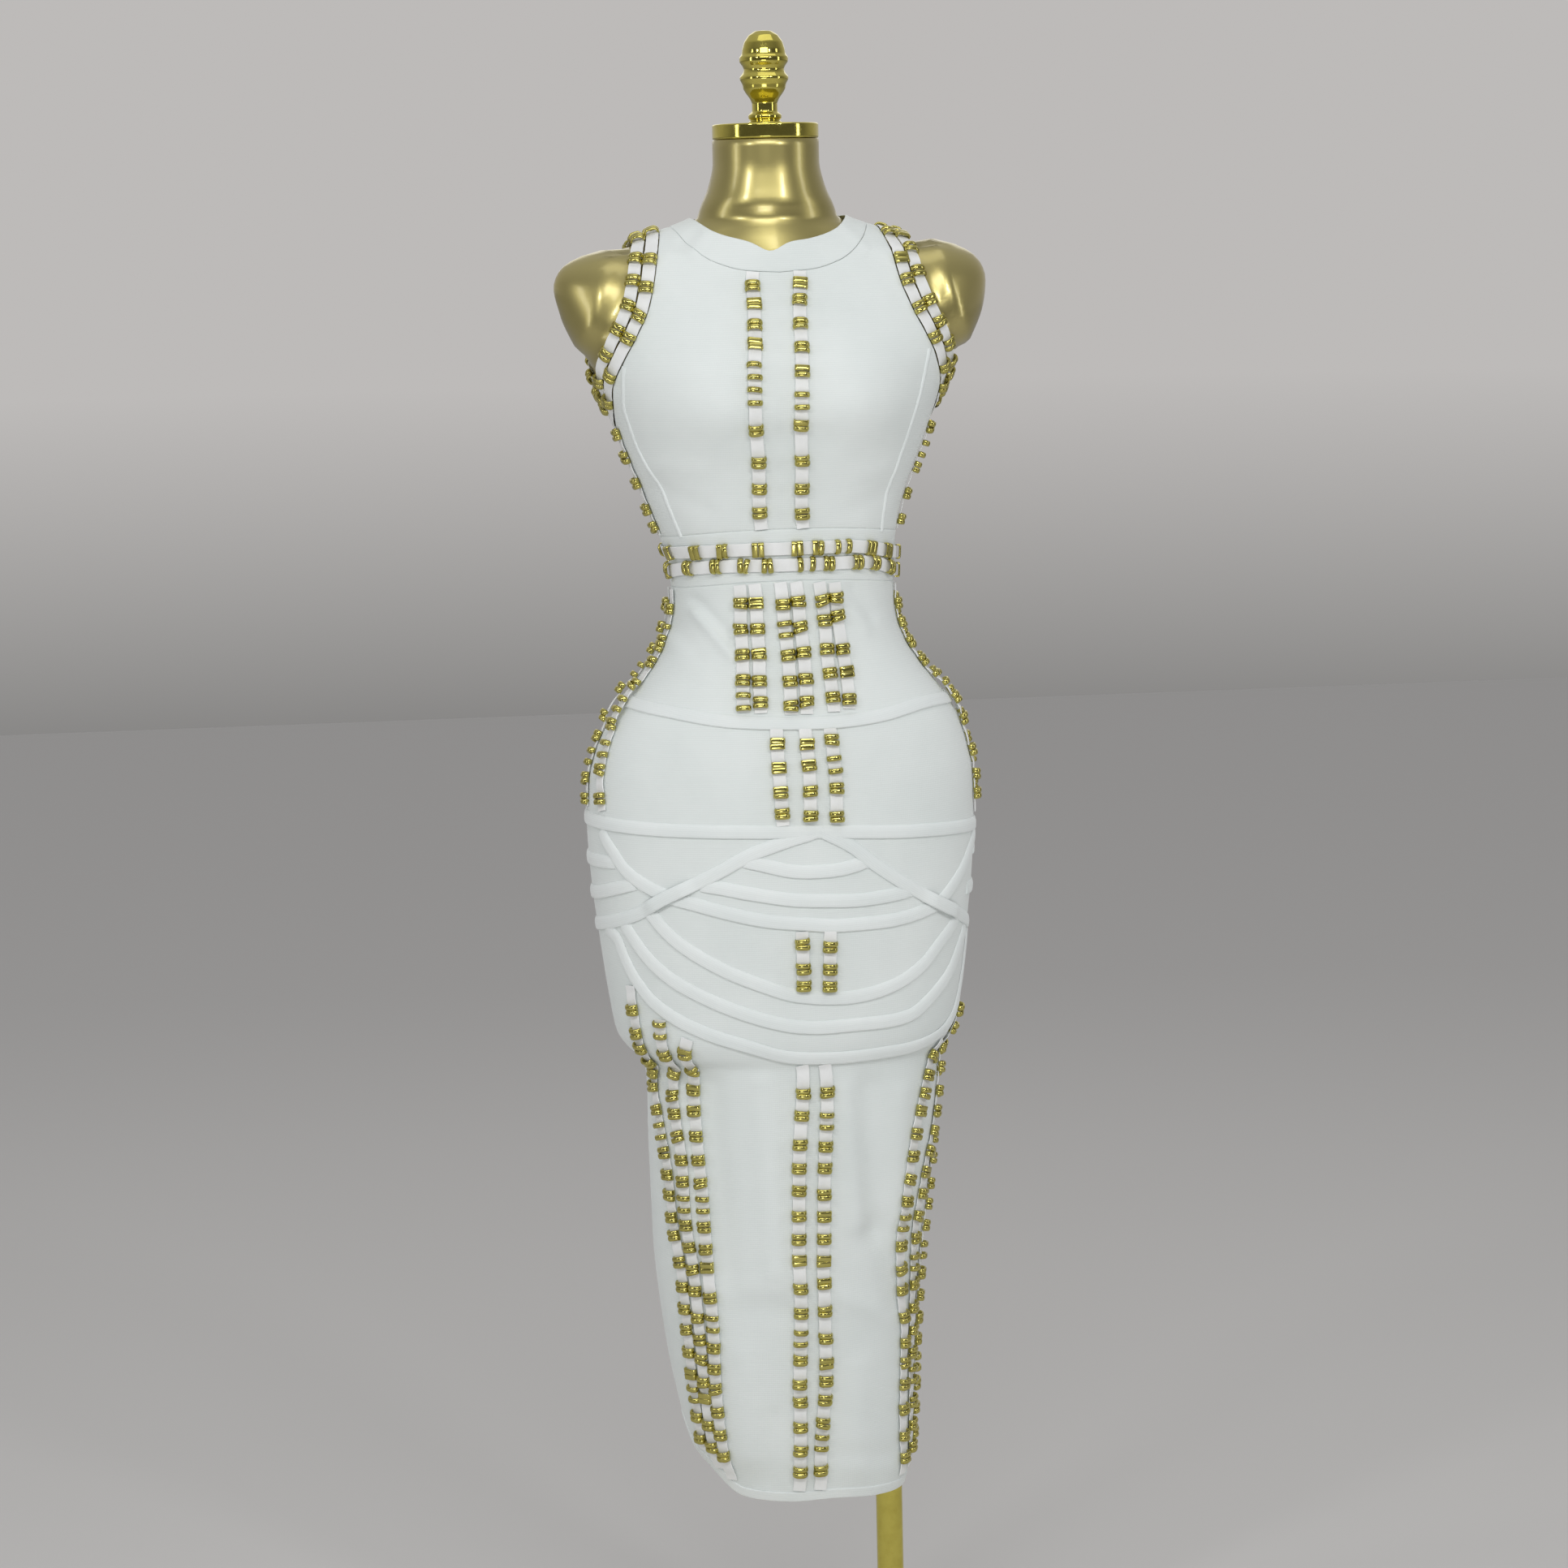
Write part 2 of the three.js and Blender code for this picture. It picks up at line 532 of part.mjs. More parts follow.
// Route distance of the place at a given height or angle.
function nearest(route, key, value) {
  const off = (stop) => Math.abs(stop[key] - value);
  return route.stops.reduce((best, stop) => (off(stop) < off(best) ? stop : best)).s;
}
function addColumnStrap({ name, first, last, count, over, ledge, curved, route: rows }, inFrontView) {
  const lift = clothWall + strapLift;
  const route = makeRoute(rows, lift, inFrontView);
  const from = nearest(route, 'z', first);
  const to = nearest(route, 'z', last);
  const places = [];
  for (let k = 0; k < count; k += 1) places.push(from + (to - from) * k / (count - 1));
  const rises = [{ middle: route.length, ...sewnEnd }];
  const tight = [];
  if (over) {
    const middle = nearest(route, 'z', over);
    tight.push({ middle, reach: crossing.reach });
    rises.push({ middle, ...crossing });
  } else rises.push({ middle: 0, ...sewnEnd });
  if (ledge) {
    const middle = nearest(route, 'z', formBottom - 6);
    tight.push({ middle, reach: ledgeBridge.closeReach });
    rises.push({ middle, ...ledgeBridge });
  }
  const rise = (s) => rises.reduce((sum, part) => sum + riseNear(s, part.middle, part), 0);
  addStrap(name, route, lift, places, { tight, rise, basePitch: curved ? curvedPitch : straightPitch });
}

// Cloth pieces
const armholeX = curve(armholeEdge);
const towardSide = (t) => t * t * (3 - 2 * t);
// Front-view x of a bodice column: even in angle low down, even in x at the shoulder.
function bodiceX(u, edgeX, z) {
  const { half } = sectionAt(z);
  const blend = towardSide(Math.min(Math.max((z - underarm) / armholeBlend, 0), 1));
  const byAngle = half * Math.sin(u * Math.asin(Math.min(edgeX / half, 1)));
  return byAngle * (1 - blend) + u * edgeX * blend;
}
// Height where a bodice column reaches the neckband's seam or the shoulder's ridge.
function bodiceTop(u, edgeAt, seamRows) {
  const seam = curve(seamRows);
  let { low, high } = shoulderSearch;
  for (let k = 0; k < shoulderSearch.steps; k += 1) {
    const z = (low + high) / 2;
    const x = bodiceX(u, edgeAt(z), z);
    const ridge = x >= sectionAt(z).half;
    const past = x < shoulderSeamX ? z > seam(x) : ridge;
    if (past) high = z;
    else low = z;
  }
  return low - neckSeamGap;
}
const denserAtTop = (v) => 1 - (1 - v) ** 1.5;

function bodiceFront() {
  const edge = {
    left: (z) => (z < princessTip.left ? acrossAtAngle(curve(princessLeft)(z), z) : armholeX(z)),
    right: (z) => (z < princessTip.right ? acrossAtAngle(curve(princessRight)(z), z) : armholeX(z)),
  };
  addPanel('bodice_front', 14, 12, (u, v) => {
    const across = u * 2 - 1;
    const edgeAt = across < 0 ? edge.left : edge.right;
    const top = bodiceTop(Math.abs(across), edgeAt, neckSeamFront);
    const bottom = waistSeam.high + curvedSeamGap;
    const z = bottom + (top - bottom) * v;
    const x = bodiceX(Math.abs(across), edgeAt(z) - seamGap / 2, z);
    return { angle: angleAcross(Math.sign(across) * x, z), z };
  }, denserAtTop);
}
function bodiceSides() {
  for (const [name, side, rows, tip] of [['bodice_side_left', -1, princessLeft, princessTip.left - 4],
    ['bodice_side_right', 1, princessRight, princessTip.right - 5]]) {
    const inner = curve(rows);
    addPanel(name, 3, 8, (u, v) => {
      const bottom = waistSeam.high + curvedSeamGap;
      const z = bottom + (tip - bottom) * v;
      const princess = inner(z) * rad + curvedSeamGap / meanRadius;
      const outer = z <= underarm ? sideAngle : angleAcross(armholeX(z), z);
      return { angle: side * (princess + (outer - princess) * u), z };
    });
  }
}
function bodiceBacks() {
  for (const [name, side] of [['bodice_back_left', -1], ['bodice_back_right', 1]]) {
    const edgeAt = (z) => (z <= underarm ? sectionAt(z).half : armholeX(z));
    addPanel(name, 9, 10, (u, v) => {
      const towardArm = u * (1.4 - 0.4 * u);
      const top = bodiceTop(towardArm, edgeAt, neckSeamBack);
      const bottom = waistSeam.high + curvedSeamGap;
      const z = bottom + (top - bottom) * v;
      const x = bodiceX(towardArm, edgeAt(z), z) + closureX * (1 - u);
      return { angle: side * (Math.PI - angleAcross(x, z)), z };
    }, denserAtTop);
  }
}
function neckband() {
  const fronts = { edge: curve(neckEdgeFront), seam: curve(neckSeamFront) };
  const backs = { edge: curve(neckEdgeBack), seam: curve(neckSeamBack) };
  addPanel('neckband', 24, 2, (u, v) => {
    const turn = u * 4 - 2;
    const behind = Math.abs(turn) > 1;
    const part = behind ? 2 - Math.abs(turn) : Math.abs(turn);
    const t = part * (2 - part);
    const { edge, seam } = behind ? backs : fronts;
    const side = Math.sign(turn) || 1;
    const at = (x, z) => {
      const own = Math.max(x, behind ? closureX : 0);
      const angle = angleAcross(side * own, z, 0.001);
      return behind ? side * Math.PI - angle : angle;
    };
    const zSeam = seam(shoulderSeamX * t);
    const zEdge = edge(neckSideX * t);
    const aSeam = at(shoulderSeamX * t, zSeam);
    const aEdge = at(neckSideX * t, zEdge);
    return { angle: aSeam + (aEdge - aSeam) * v, z: zSeam + (zEdge - zSeam) * v };
  });
}
// Half the angle that a ring leaves open at centre back, where the zip closes it.
const closureAngle = (z) => angleAcross(closureX, z);
function waistband() {
  addPanel('waistband', 28, 2, (u, v) => {
    const z = waistSeam.low + (waistSeam.high - waistSeam.low) * v;
    const turn = u * 2 - 1;
    return { angle: turn * (Math.PI - closureAngle(z)), z };
  });
}
const seamHeight = curve(lowerSeam);
function hipPanels() {
  // Rows are closer in the hollow between waist and hip.
  const hollowRows = [857, 895, 928, 956, 978, 996, 1012, 1028, 1045, waistSeam.low - curvedSeamGap];
  const rowsAbove = hollowRows.length - 1;
  const heightAt = (v, bottom, lowRows) => {
    const k = Math.round(v * (rowsAbove + lowRows.length)) - lowRows.length;
    return k < 0 ? bottom + (hollowRows[0] - bottom) * lowRows[k + lowRows.length] : hollowRows[k];
  };
  const lowFrontRows = [0, 0.2, 0.55];
  addPanel('hip_front', 14, rowsAbove + lowFrontRows.length, (u, v) => {
    const angle = (u * 2 - 1) * sideAngle;
    return { angle, z: heightAt(v, seamHeight(angle / rad), lowFrontRows) };
  });
  for (const [name, side] of [['hip_back_left', -1], ['hip_back_right', 1]]) {
    addPanel(name, 7, rowsAbove + 1, (u, v) => {
      const z = heightAt(v, seamHeight(side * (180 - 90 * u)), [0]);
      const from = closureAngle(z);
      return { angle: side * (Math.PI - from - (sideAngle - from) * u), z };
    });
  }
}
function lowerSkirt() {
  // Even rows up to the form's lower edge, then closer ones over it.
  const ledge = 615;
  const overLedge = [0.1, 0.19, 0.285, 0.44, 0.68, 1];
  const heightAt = (v, evenRows, top) => {
    const k = Math.round(v * (evenRows + overLedge.length));
    if (k <= evenRows) return hemHeight + (ledge - hemHeight) * k / evenRows;
    return ledge + (top - ledge) * overLedge[k - evenRows - 1];
  };
  for (const [name, middle, evenRows] of [['skirt_front', 0, 5], ['skirt_back', 180, 4]]) {
    addPanel(name, 14, evenRows + overLedge.length, (u, v) => {
      const angle = middle * rad + (u * 2 - 1) * sideAngle;
      const seamAngle = angle > Math.PI ? angle - 2 * Math.PI : angle;
      const top = seamHeight(seamAngle / rad) - seamGap * 1.5;
      return { angle, z: heightAt(v, evenRows, top) };
    });
  }
}

// Bands and straps
function bands() {
  const openAtBack = (rows) => rows.map(([angle, z], k) => {
    if (k !== 0 && k !== rows.length - 1) return [angle, z];
    return [angle - Math.sign(angle) * closureAngle(z) / rad, z];
  });
  addBand('hip_band_1', openAtBack(hipBand1));
  addBand('hip_band_2', hipBand2, { closed: true });
  addBand('cross_band', crossBand, { crossings: [-40, -310] });
  addBand('arc_3', arc3);
  for (const [name, rows] of Object.entries(arcsInFrontView)) addBand(name, rows, { inFrontView: true });
  for (const [name, rows] of Object.entries(sideBands)) addBand(name, rows);
  addBand('arc_6', lowerSeam.filter(([angle]) => angle >= -68 && angle <= 84), { pitch: 17 });
}
function waistRingStraps() {
  const lift = clothWall + ringLift;
  for (const [name, { height, sliders }] of Object.entries(waistRings)) {
    const from = -180 + closureAngle(height) / rad;
    const rows = [];
    const stops = 24;
    for (let k = 0; k <= stops; k += 1) rows.push([from - 2 * from * k / stops, height]);
    const route = makeRoute(rows, lift);
    const places = [...sliders, ...backRingSliders].map((angle) => nearest(route, 'angle', angle * rad));
    places.sort((a, b) => a - b);
    addStrap(name, route, lift, places, { basePitch: curvedPitch });
  }
}
// The point of the body nearest to a place in space, by ever smaller steps.
function nearestOnBody(place, start) {
  let best = { ...start, gap: place.distanceTo(bodyPoint(start.angle, start.z)) };
  let turn = 0.1;
  let climb = 8;
  for (let k = 0; k < 80; k += 1) {
    const tries = [[turn, 0], [-turn, 0], [0, climb], [0, -climb]].map(([a, h]) => {
      const angle = best.angle + a;
      const z = best.z + h;
      return { angle, z, gap: place.distanceTo(bodyPoint(angle, z)) };
    });
    const found = tries.reduce((a, b) => (b.gap < a.gap ? b : a));
    if (found.gap < best.gap) best = found;
    else {
      turn /= 1.6;
      climb /= 1.6;
    }
  }
  return best;
}
function armholeStrapsRound() {
  const heights = armholeEdge.map(([z]) => z);
  for (const [sideName, side] of [['left', -1], ['right', 1]]) {
    const front = heights.map((z) => ({ angle: angleAcross(armholeX(z), z), z }));
    front[0].angle = Math.PI / 2;
    front[front.length - 1].angle = Math.PI / 2;
    const back = front.slice(1, -1).reverse().map(({ angle, z }) => ({ angle: Math.PI - angle, z }));
    const edge = [...front, ...back, front[0]].map(({ angle, z }) => ({ angle: side * angle, z }));
    for (const [name, { inset, pitch }] of Object.entries(armholeStraps)) {
      const rows = edge.map((stop, k) => {
        const before = edge[k === 0 ? edge.length - 2 : k - 1];
        const after = edge[k === edge.length - 1 ? 1 : k + 1];
        const along = bodyPoint(after.angle, after.z).sub(bodyPoint(before.angle, before.z)).normalize();
        const across = bodyNormal(stop.angle, stop.z).cross(along).normalize();
        const place = bodyPoint(stop.angle, stop.z).addScaledVector(across, side * -inset);
        const moved = nearestOnBody(place, stop);
        return [moved.angle / rad, moved.z];
      });
      const whole = makeRoute(rows, armholeStrapLift);
      const route = { ...whole, length: whole.length - armholeStrapGap };
      const count = Math.floor(route.length / pitch);
      const places = [];
      for (let k = 0; k < count; k += 1) places.push((k + 0.5) * route.length / count);
      const tight = [{ middle: route.length / 2, reach: 36 }];
      const options = { basePitch: curvedPitch, tight };
      addStrap(`armhole_${sideName}_${name}`, route, armholeStrapLift, places, options);
    }
  }
}
function straps() {
  for (const strap of strapsInFrontView) addColumnStrap(strap, true);
  for (const strap of strapsByAngle) addColumnStrap(strap, false);
  waistRingStraps();
  armholeStrapsRound();
}

// Form and stand
function form() {
  const heights = [
    formBottom, 640, 650, 672, 760, 840, 945, 975, 1005, 1035, 1062, 1086, 1110, 1150, 1200,
    1245, 1280, 1310, 1335, 1350, 1361, 1369, 1376, 1383, 1391, 1400, 1412, 1432, formTop,
  ];
  const columns = 24;
  const points = [new THREE.Vector3(0, 0, formBottom)];
  for (const z of heights) {
    const rounding = formEdge.inset * Math.max(0, 1 - (z - formBottom) / formEdge.height) ** 2;
    const extra = Math.max(...moreClearance.map((place) => riseNear(z, place.z, place)));
    for (let i = 0; i < columns; i += 1) {
      const angle = 2 * Math.PI * i / columns;
      const place = onBody(angle, z, -formClearance - extra - rounding);
      if (z === formBottom || z === formTop) place.z = z;
      points.push(place);
    }
  }
  points.push(new THREE.Vector3(0, 0, formTop));
  const faces = [];
  const last = points.length - 1;
  for (let i = 0; i < columns; i += 1) {
    const next = (i + 1) % columns;
    faces.push([0, 1 + next, 1 + i]);
    faces.push([last, last - columns + i, last - columns + next]);
    for (let j = 0; j < heights.length - 1; j += 1) {
      const low = 1 + j * columns;
      const high = low + columns;
      faces.push([low + i, low + next, high + next, high + i]);
    }
  }
  addSolid('form_torso', points, faces, satinGold);
}
function turned(name, profile, segments, x, z, look) {
  const outline = profile.map(([radius, height]) => new THREE.Vector2(radius, height));
  const geometry = new THREE.LatheGeometry(outline, segments);
  geometry.rotateX(Math.PI / 2);
  geometry.translate(x, 0, z);
  addMesh(name, geometry, look);
}
function stand() {
  const { radius, height, edge } = base;
  const baseProfile = [[0, 0], [radius, 0], [radius, height - edge], [radius - edge, height], [0, height]];
  turned('base_plate', baseProfile, 24, 0, 0, polishedGold);
  const poleBottom = height + seamGap;
  const poleLength = formBottom - seamGap - poleBottom;
  const { flangeRadius: wide, flangeHeight: thick, radius: thin } = pole;
  const poleProfile = [
    [0, 0], [wide, 0], [wide, thick], [thin, thick + 3], [thin, poleLength - thick],
    [wide, poleLength - thick + 1], [wide, poleLength], [0, poleLength],
  ];
  turned('pole', poleProfile, 12, pole.x, poleBottom, polishedGold);
  const cap = neckCap;
  const finial = finialProfile.map(([reach, up]) => [reach, cap.height + up]);
  turned('neck_cap', [[0, 0], [cap.radius - 1, 0], [cap.radius, 1.5], [cap.radius, cap.height - 2],
    [cap.radius - 2, cap.height], ...finial], 14, 0, cap.bottom, polishedGold);
}

form();
stand();
bodiceFront();
bodiceSides();
bodiceBacks();
neckband();
waistband();
hipPanels();
lowerSkirt();
bands();
straps();

export default group;
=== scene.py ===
# A sleeveless bandage dress with rows of gold sliders, on a limbless gold dress form.
# Shapes are worked out in millimetres and made into meshes in metres.
# +Z is up, the front faces -Y and +X is the viewer's right. Angles run round the body:
# 0 at centre front, 90 at the right side, 180 at centre back.
import math

import bpy
import numpy as np
from mathutils import Matrix, Vector


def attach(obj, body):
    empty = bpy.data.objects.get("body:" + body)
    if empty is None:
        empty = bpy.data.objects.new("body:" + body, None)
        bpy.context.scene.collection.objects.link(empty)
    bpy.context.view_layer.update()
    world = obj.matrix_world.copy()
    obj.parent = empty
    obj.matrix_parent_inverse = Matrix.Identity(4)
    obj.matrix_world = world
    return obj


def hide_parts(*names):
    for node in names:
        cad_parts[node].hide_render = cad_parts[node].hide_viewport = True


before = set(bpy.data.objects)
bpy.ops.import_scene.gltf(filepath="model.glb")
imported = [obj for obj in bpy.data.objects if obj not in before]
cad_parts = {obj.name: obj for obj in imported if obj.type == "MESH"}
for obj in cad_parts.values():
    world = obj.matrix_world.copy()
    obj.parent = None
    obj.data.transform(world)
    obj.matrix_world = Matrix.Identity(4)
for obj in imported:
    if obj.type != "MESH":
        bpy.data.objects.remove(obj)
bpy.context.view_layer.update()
scene = bpy.context.scene
mm = 0.001
rad = math.pi / 180

# The photograph's camera: distance and height from the object, and its turns in degrees.
cameraValues = {
    "distance": 4000, "height": 1370, "azimuth": -8, "pitch": 7, "roll": 1.29,
    "sideways": 3.7, "lens": 99.88, "sensor": 36,
}


def makeCamera(v):
    azimuth, pitch, roll = v["azimuth"] * rad, v["pitch"] * rad, v["roll"] * rad
    right = Vector((math.cos(azimuth), math.sin(azimuth), 0))
    level = Vector((-math.sin(azimuth), math.cos(azimuth), 0))
    up = level * math.sin(pitch) + Vector((0, 0, math.cos(pitch)))
    ahead = level * math.cos(pitch) - Vector((0, 0, math.sin(pitch)))
    place = -level * v["distance"] + Vector((0, 0, v["height"])) + right * v["sideways"]
    across = right * math.cos(roll) - up * math.sin(roll)
    upright = right * math.sin(roll) + up * math.cos(roll)
    data = bpy.data.cameras.new("photo_camera")
    data.lens = v["lens"]
    data.sensor_width = v["sensor"]
    data.clip_end = 50
    camera = bpy.data.objects.new("photo_camera", data)
    scene.collection.objects.link(camera)
    turn = Matrix((across, upright, -ahead)).transposed().to_4x4()
    camera.matrix_world = Matrix.Translation(place * mm) @ turn
    scene.camera = camera


makeCamera(cameraValues)
print("camera")

# Body: half width, depth in front of and behind the middle, shift of the middle, and the
# power of the superellipse, for rising heights of the cloth's inner face.
sections = [
    [215, 90, 70, 72, 12, 2.1], [235, 96, 74, 76, 11, 2.1], [262, 103, 78, 80, 6, 2.1],
    [300, 109, 81, 84, 2, 2.1], [360, 116, 85, 88, -2, 2.1], [430, 123, 89, 93, -3, 2.1],
    [500, 128.5, 92, 96, 0, 2.1], [560, 132.5, 94, 98, 3, 2.15], [605, 134.5, 95, 99, 5, 2.2],
    [628, 136, 97, 100, 4, 2.2], [640, 147, 102, 104, 1, 2.2], [654, 156, 106, 108, 0, 2.2],
    [685, 162, 109, 111, 0, 2.2], [745, 170, 112, 119, 0, 2.2], [800, 176, 113, 129, 0, 2.2],
    [850, 178.5, 113, 135, 0, 2.2], [890, 177, 111, 134, 1, 2.2], [915, 171, 109, 130, 2, 2.2],
    [940, 161, 106, 123, 4, 2.2], [965, 145, 101, 112, 5, 2.2], [990, 126, 96, 102, 5, 2.2],
    [1012, 112, 92, 95, 5, 2.2], [1035, 104, 89, 90, 5, 2.2], [1060, 101, 88, 87, 6, 2.2],
    [1085, 102, 88, 87, 6, 2.2], [1110, 107, 90, 89, 3, 2.2], [1150, 119, 95, 93, 0, 2.2],
    [1190, 135, 102, 96, 0, 2.2], [1228, 149, 109, 98, 0, 2.2], [1258, 163, 106, 98, 0, 2.15],
    [1285, 177, 97, 97, 1, 2.1], [1317, 191, 83, 93, 1, 1.95], [1340, 195, 74, 89, 0, 1.8],
    [1354, 190, 69, 86, 0, 1.7], [1366, 176, 65, 83, 0, 1.6], [1376, 142, 62, 79, 0, 1.5],
    [1389, 100, 58, 73, 0, 1.6], [1400, 71, 54, 66, 0, 1.8], [1412, 60, 51, 59, 0, 1.95],
    [1430, 52, 48, 53, 0, 2], [1450, 48, 46, 50, 0, 2], [1472, 48, 46, 50, 0, 2],
]
bust = {"x": 72, "z": 1232, "width": 44, "above": 52, "below": 44, "fullness": 12}
# Soft troughs (depth below 0) and ridges of the cloth in front view: from x, z to x, z,
# then width and height.
creases = [
    [-80, 1055, -49, 1019, 5.5, -2.9], [-80, 1046, -52, 1007, 5.5, 3.6], [-100, 1040, -84, 1004, 9, -1.4],
    [-104, 1024, -78, 990, 8, 1.4], [58, 1064, 78, 1038, 6, -1.9], [48, 1060, 70, 1026, 7, 1.5],
    [-82, 614, -70, 430, 13, -4.4], [-36, 616, -27, 440, 14, 3.8], [-108, 600, -96, 470, 9, 2.0],
    [43, 606, 50, 480, 11, 2.6], [63, 604, 70, 470, 16, -4.4], [72, 470, 90, 396, 14, -3.4],
    [96, 596, 92, 480, 11, 2.0], [20, 418, 82, 386, 10, 1.7], [-74, 428, -20, 421, 10, 1.3],
    [-74, 404, -18, 400, 11, -1.0], [-60, 360, -54, 262, 14, 2.0], [50, 340, 48, 250, 14, 2.2],
    [-30, 300, -36, 236, 9, -1.3], [30, 262, 78, 252, 10, -1.2],
    [-112, 1160, -70, 1140, 8, -1.1], [-118, 1180, -80, 1176, 9, 1.0], [92, 1150, 60, 1136, 8, -1.0],
    [98, 1172, 66, 1168, 9, 1.0], [-150, 700, -120, 716, 8, -0.8], [-60, 1352, -92, 1330, 9, 0.9],
    [70, 1350, 96, 1328, 9, 0.9], [-62, 1384, -76, 1366, 4.5, 1.3], [-70, 1388, -86, 1374, 4.5, -1.1],
    [66, 1386, 82, 1370, 4.5, 1.3], [84, 1360, 104, 1352, 7, -0.9], [-34, 1210, 34, 1204, 14, -1.0],
]
meanRadius = 120
clothWall = 1.3


# Monotone cubic through rows of [position, value, ...], which never overshoots its rows.
def smoothCurve(rows):
    table = np.array(rows, float)
    x, values = table[:, 0], table[:, 1:]
    step = np.diff(x)
    slope = np.diff(values, axis=0) / step[:, None]
    tangent = np.zeros_like(values)
    tangent[0], tangent[-1] = slope[0], slope[-1]
    same = slope[1:] * slope[:-1] > 0
    after, before = step[1:, None], step[:-1, None]
    low = np.where(same, slope[:-1], 1)
    high = np.where(same, slope[1:], 1)
    mean = 3 * (after + before) / ((2 * after + before) / low + (after + 2 * before) / high)
    tangent[1:-1] = np.where(same, mean, 0)

    def at(position):
        p = np.asarray(position, float)
        k = np.clip(np.searchsorted(x, p) - 1, 0, len(step) - 1)
        h = step[k][..., None]
        t = np.clip((p - x[k]) / step[k], 0, 1)[..., None]
        result = (
            (2 * t**3 - 3 * t**2 + 1) * values[k]
            + (t**3 - 2 * t**2 + t) * h * tangent[k]
            + (3 * t**2 - 2 * t**3) * values[k + 1]
            + (t**3 - t**2) * h * tangent[k + 1]
        )
        return result[..., 0] if values.shape[1] == 1 else result

    return at


sectionCurve = smoothCurve(sections)


# x = middle + half * sin^(2/power), y = -depth * cos^(2/power), less the bust's two domes.
def bodyPoint(angle, z):
    angle, z = np.broadcast_arrays(np.asarray(angle, float), np.asarray(z, float))
    half, front, back, centre, power = np.moveaxis(sectionCurve(z), -1, 0)
    s, c = np.sin(angle), np.cos(angle)
    x = centre + half * np.sign(s) * np.abs(s) ** (2 / power)
    depth = np.where(c > 0, front, back) * np.abs(c) ** (2 / power)
    rise = (z - bust["z"]) / np.where(z > bust["z"], bust["above"], bust["below"])
    domes = sum(np.exp(-(((x - side * bust["x"]) / bust["width"]) ** 2) - rise**2) for side in (-1, 1))
    cup = bust["fullness"] * domes * np.sqrt(np.clip(c, 0, 1))
    return np.stack([x, -np.sign(c) * depth - cup, z], -1)


def unit(vectors):
    return vectors / np.maximum(np.linalg.norm(vectors, axis=-1, keepdims=True), 1e-9)


def bodyNormal(angle, z):
    turn, climb = 0.02, 2
    around = bodyPoint(angle + turn, z) - bodyPoint(angle - turn, z)
    up = bodyPoint(angle, z + climb) - bodyPoint(angle, z - climb)
    return unit(np.cross(around, up))


# Height of the cloth's folds: each fold is height * exp(-(distance / width)^2) from its line.
def foldHeight(angle, z):
    point = bodyPoint(angle, z)
    x, height = point[..., 0], point[..., 2]
    inFront = np.clip(np.cos(angle) * 4, 0, 1)
    total = np.zeros_like(x)
    for x0, z0, x1, z1, width, rise in creases:
        dx, dz = x1 - x0, z1 - z0
        t = np.clip(((x - x0) * dx + (height - z0) * dz) / (dx * dx + dz * dz), 0, 1)
        distance = np.hypot(x - x0 - t * dx, height - z0 - t * dz)
        total += rise * np.exp(-((distance / width) ** 2))
    return total * inFront


def onBody(angle, z, lift):
    lift = np.asarray(lift, float)[..., None]
    return bodyPoint(angle, z) + bodyNormal(angle, z) * lift


def onCloth(angle, z, lift):
    return onBody(angle, z, lift + foldHeight(angle, z))


def angleAcross(distance, z, gap=0.0):
    values = sectionCurve(z)
    half, front, power = values[..., 0], values[..., 1], values[..., 4]
    across = np.minimum(np.abs(distance) / half, 1) ** (power / 2)
    side = np.arccos(np.clip((gap / 2 / front) ** (power / 2), 0, 1))
    return np.sign(distance) * np.minimum(np.arcsin(across), side)


def angleAtX(x, z):
    return angleAcross(x - sectionCurve(z)[..., 3], z)


# Meshes
def makeObject(name, points, quads, look, nodes, uv=None, sharp=40):
    points = np.asarray(points, float).reshape(-1, 3)
    quads = np.asarray(quads).reshape(-1, 4)
    corners = points[quads]
    volume = np.einsum("ij,ij->i", corners[:, 0], np.cross(corners[:, 1], corners[:, 2]))
    volume += np.einsum("ij,ij->i", corners[:, 0], np.cross(corners[:, 2], corners[:, 3]))
    if volume.sum() < 0:
        quads = quads[:, ::-1]
    mesh = bpy.data.meshes.new(name)
    mesh.vertices.add(len(points))
    mesh.vertices.foreach_set("co", (points * mm).ravel())
    mesh.loops.add(quads.size)
    mesh.loops.foreach_set("vertex_index", quads.ravel())
    mesh.polygons.add(len(quads))
    mesh.polygons.foreach_set("loop_start", np.arange(len(quads)) * 4)
    mesh.update(calc_edges=True)
    if uv is not None:
        layer = mesh.uv_layers.new(name="along")
        layer.data.foreach_set("uv", np.asarray(uv, float).reshape(-1, 2)[quads.ravel()].ravel())
    mesh.validate()
    mesh.shade_smooth()
    mesh.set_sharp_from_angle(angle=sharp * rad)
    mesh.materials.append(look)
    piece = bpy.data.objects.new(name, mesh)
    scene.collection.objects.link(piece)
    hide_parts(*nodes)
    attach(piece, "root")
    return piece


# Quads between neighbouring points of a grid of rows by columns.
def gridQuads(rows, columns, start=0):
    corner = start + (np.arange(rows - 1)[:, None] * columns + np.arange(columns - 1)).ravel()
    return np.stack([corner, corner + 1, corner + 1 + columns, corner + columns], -1)


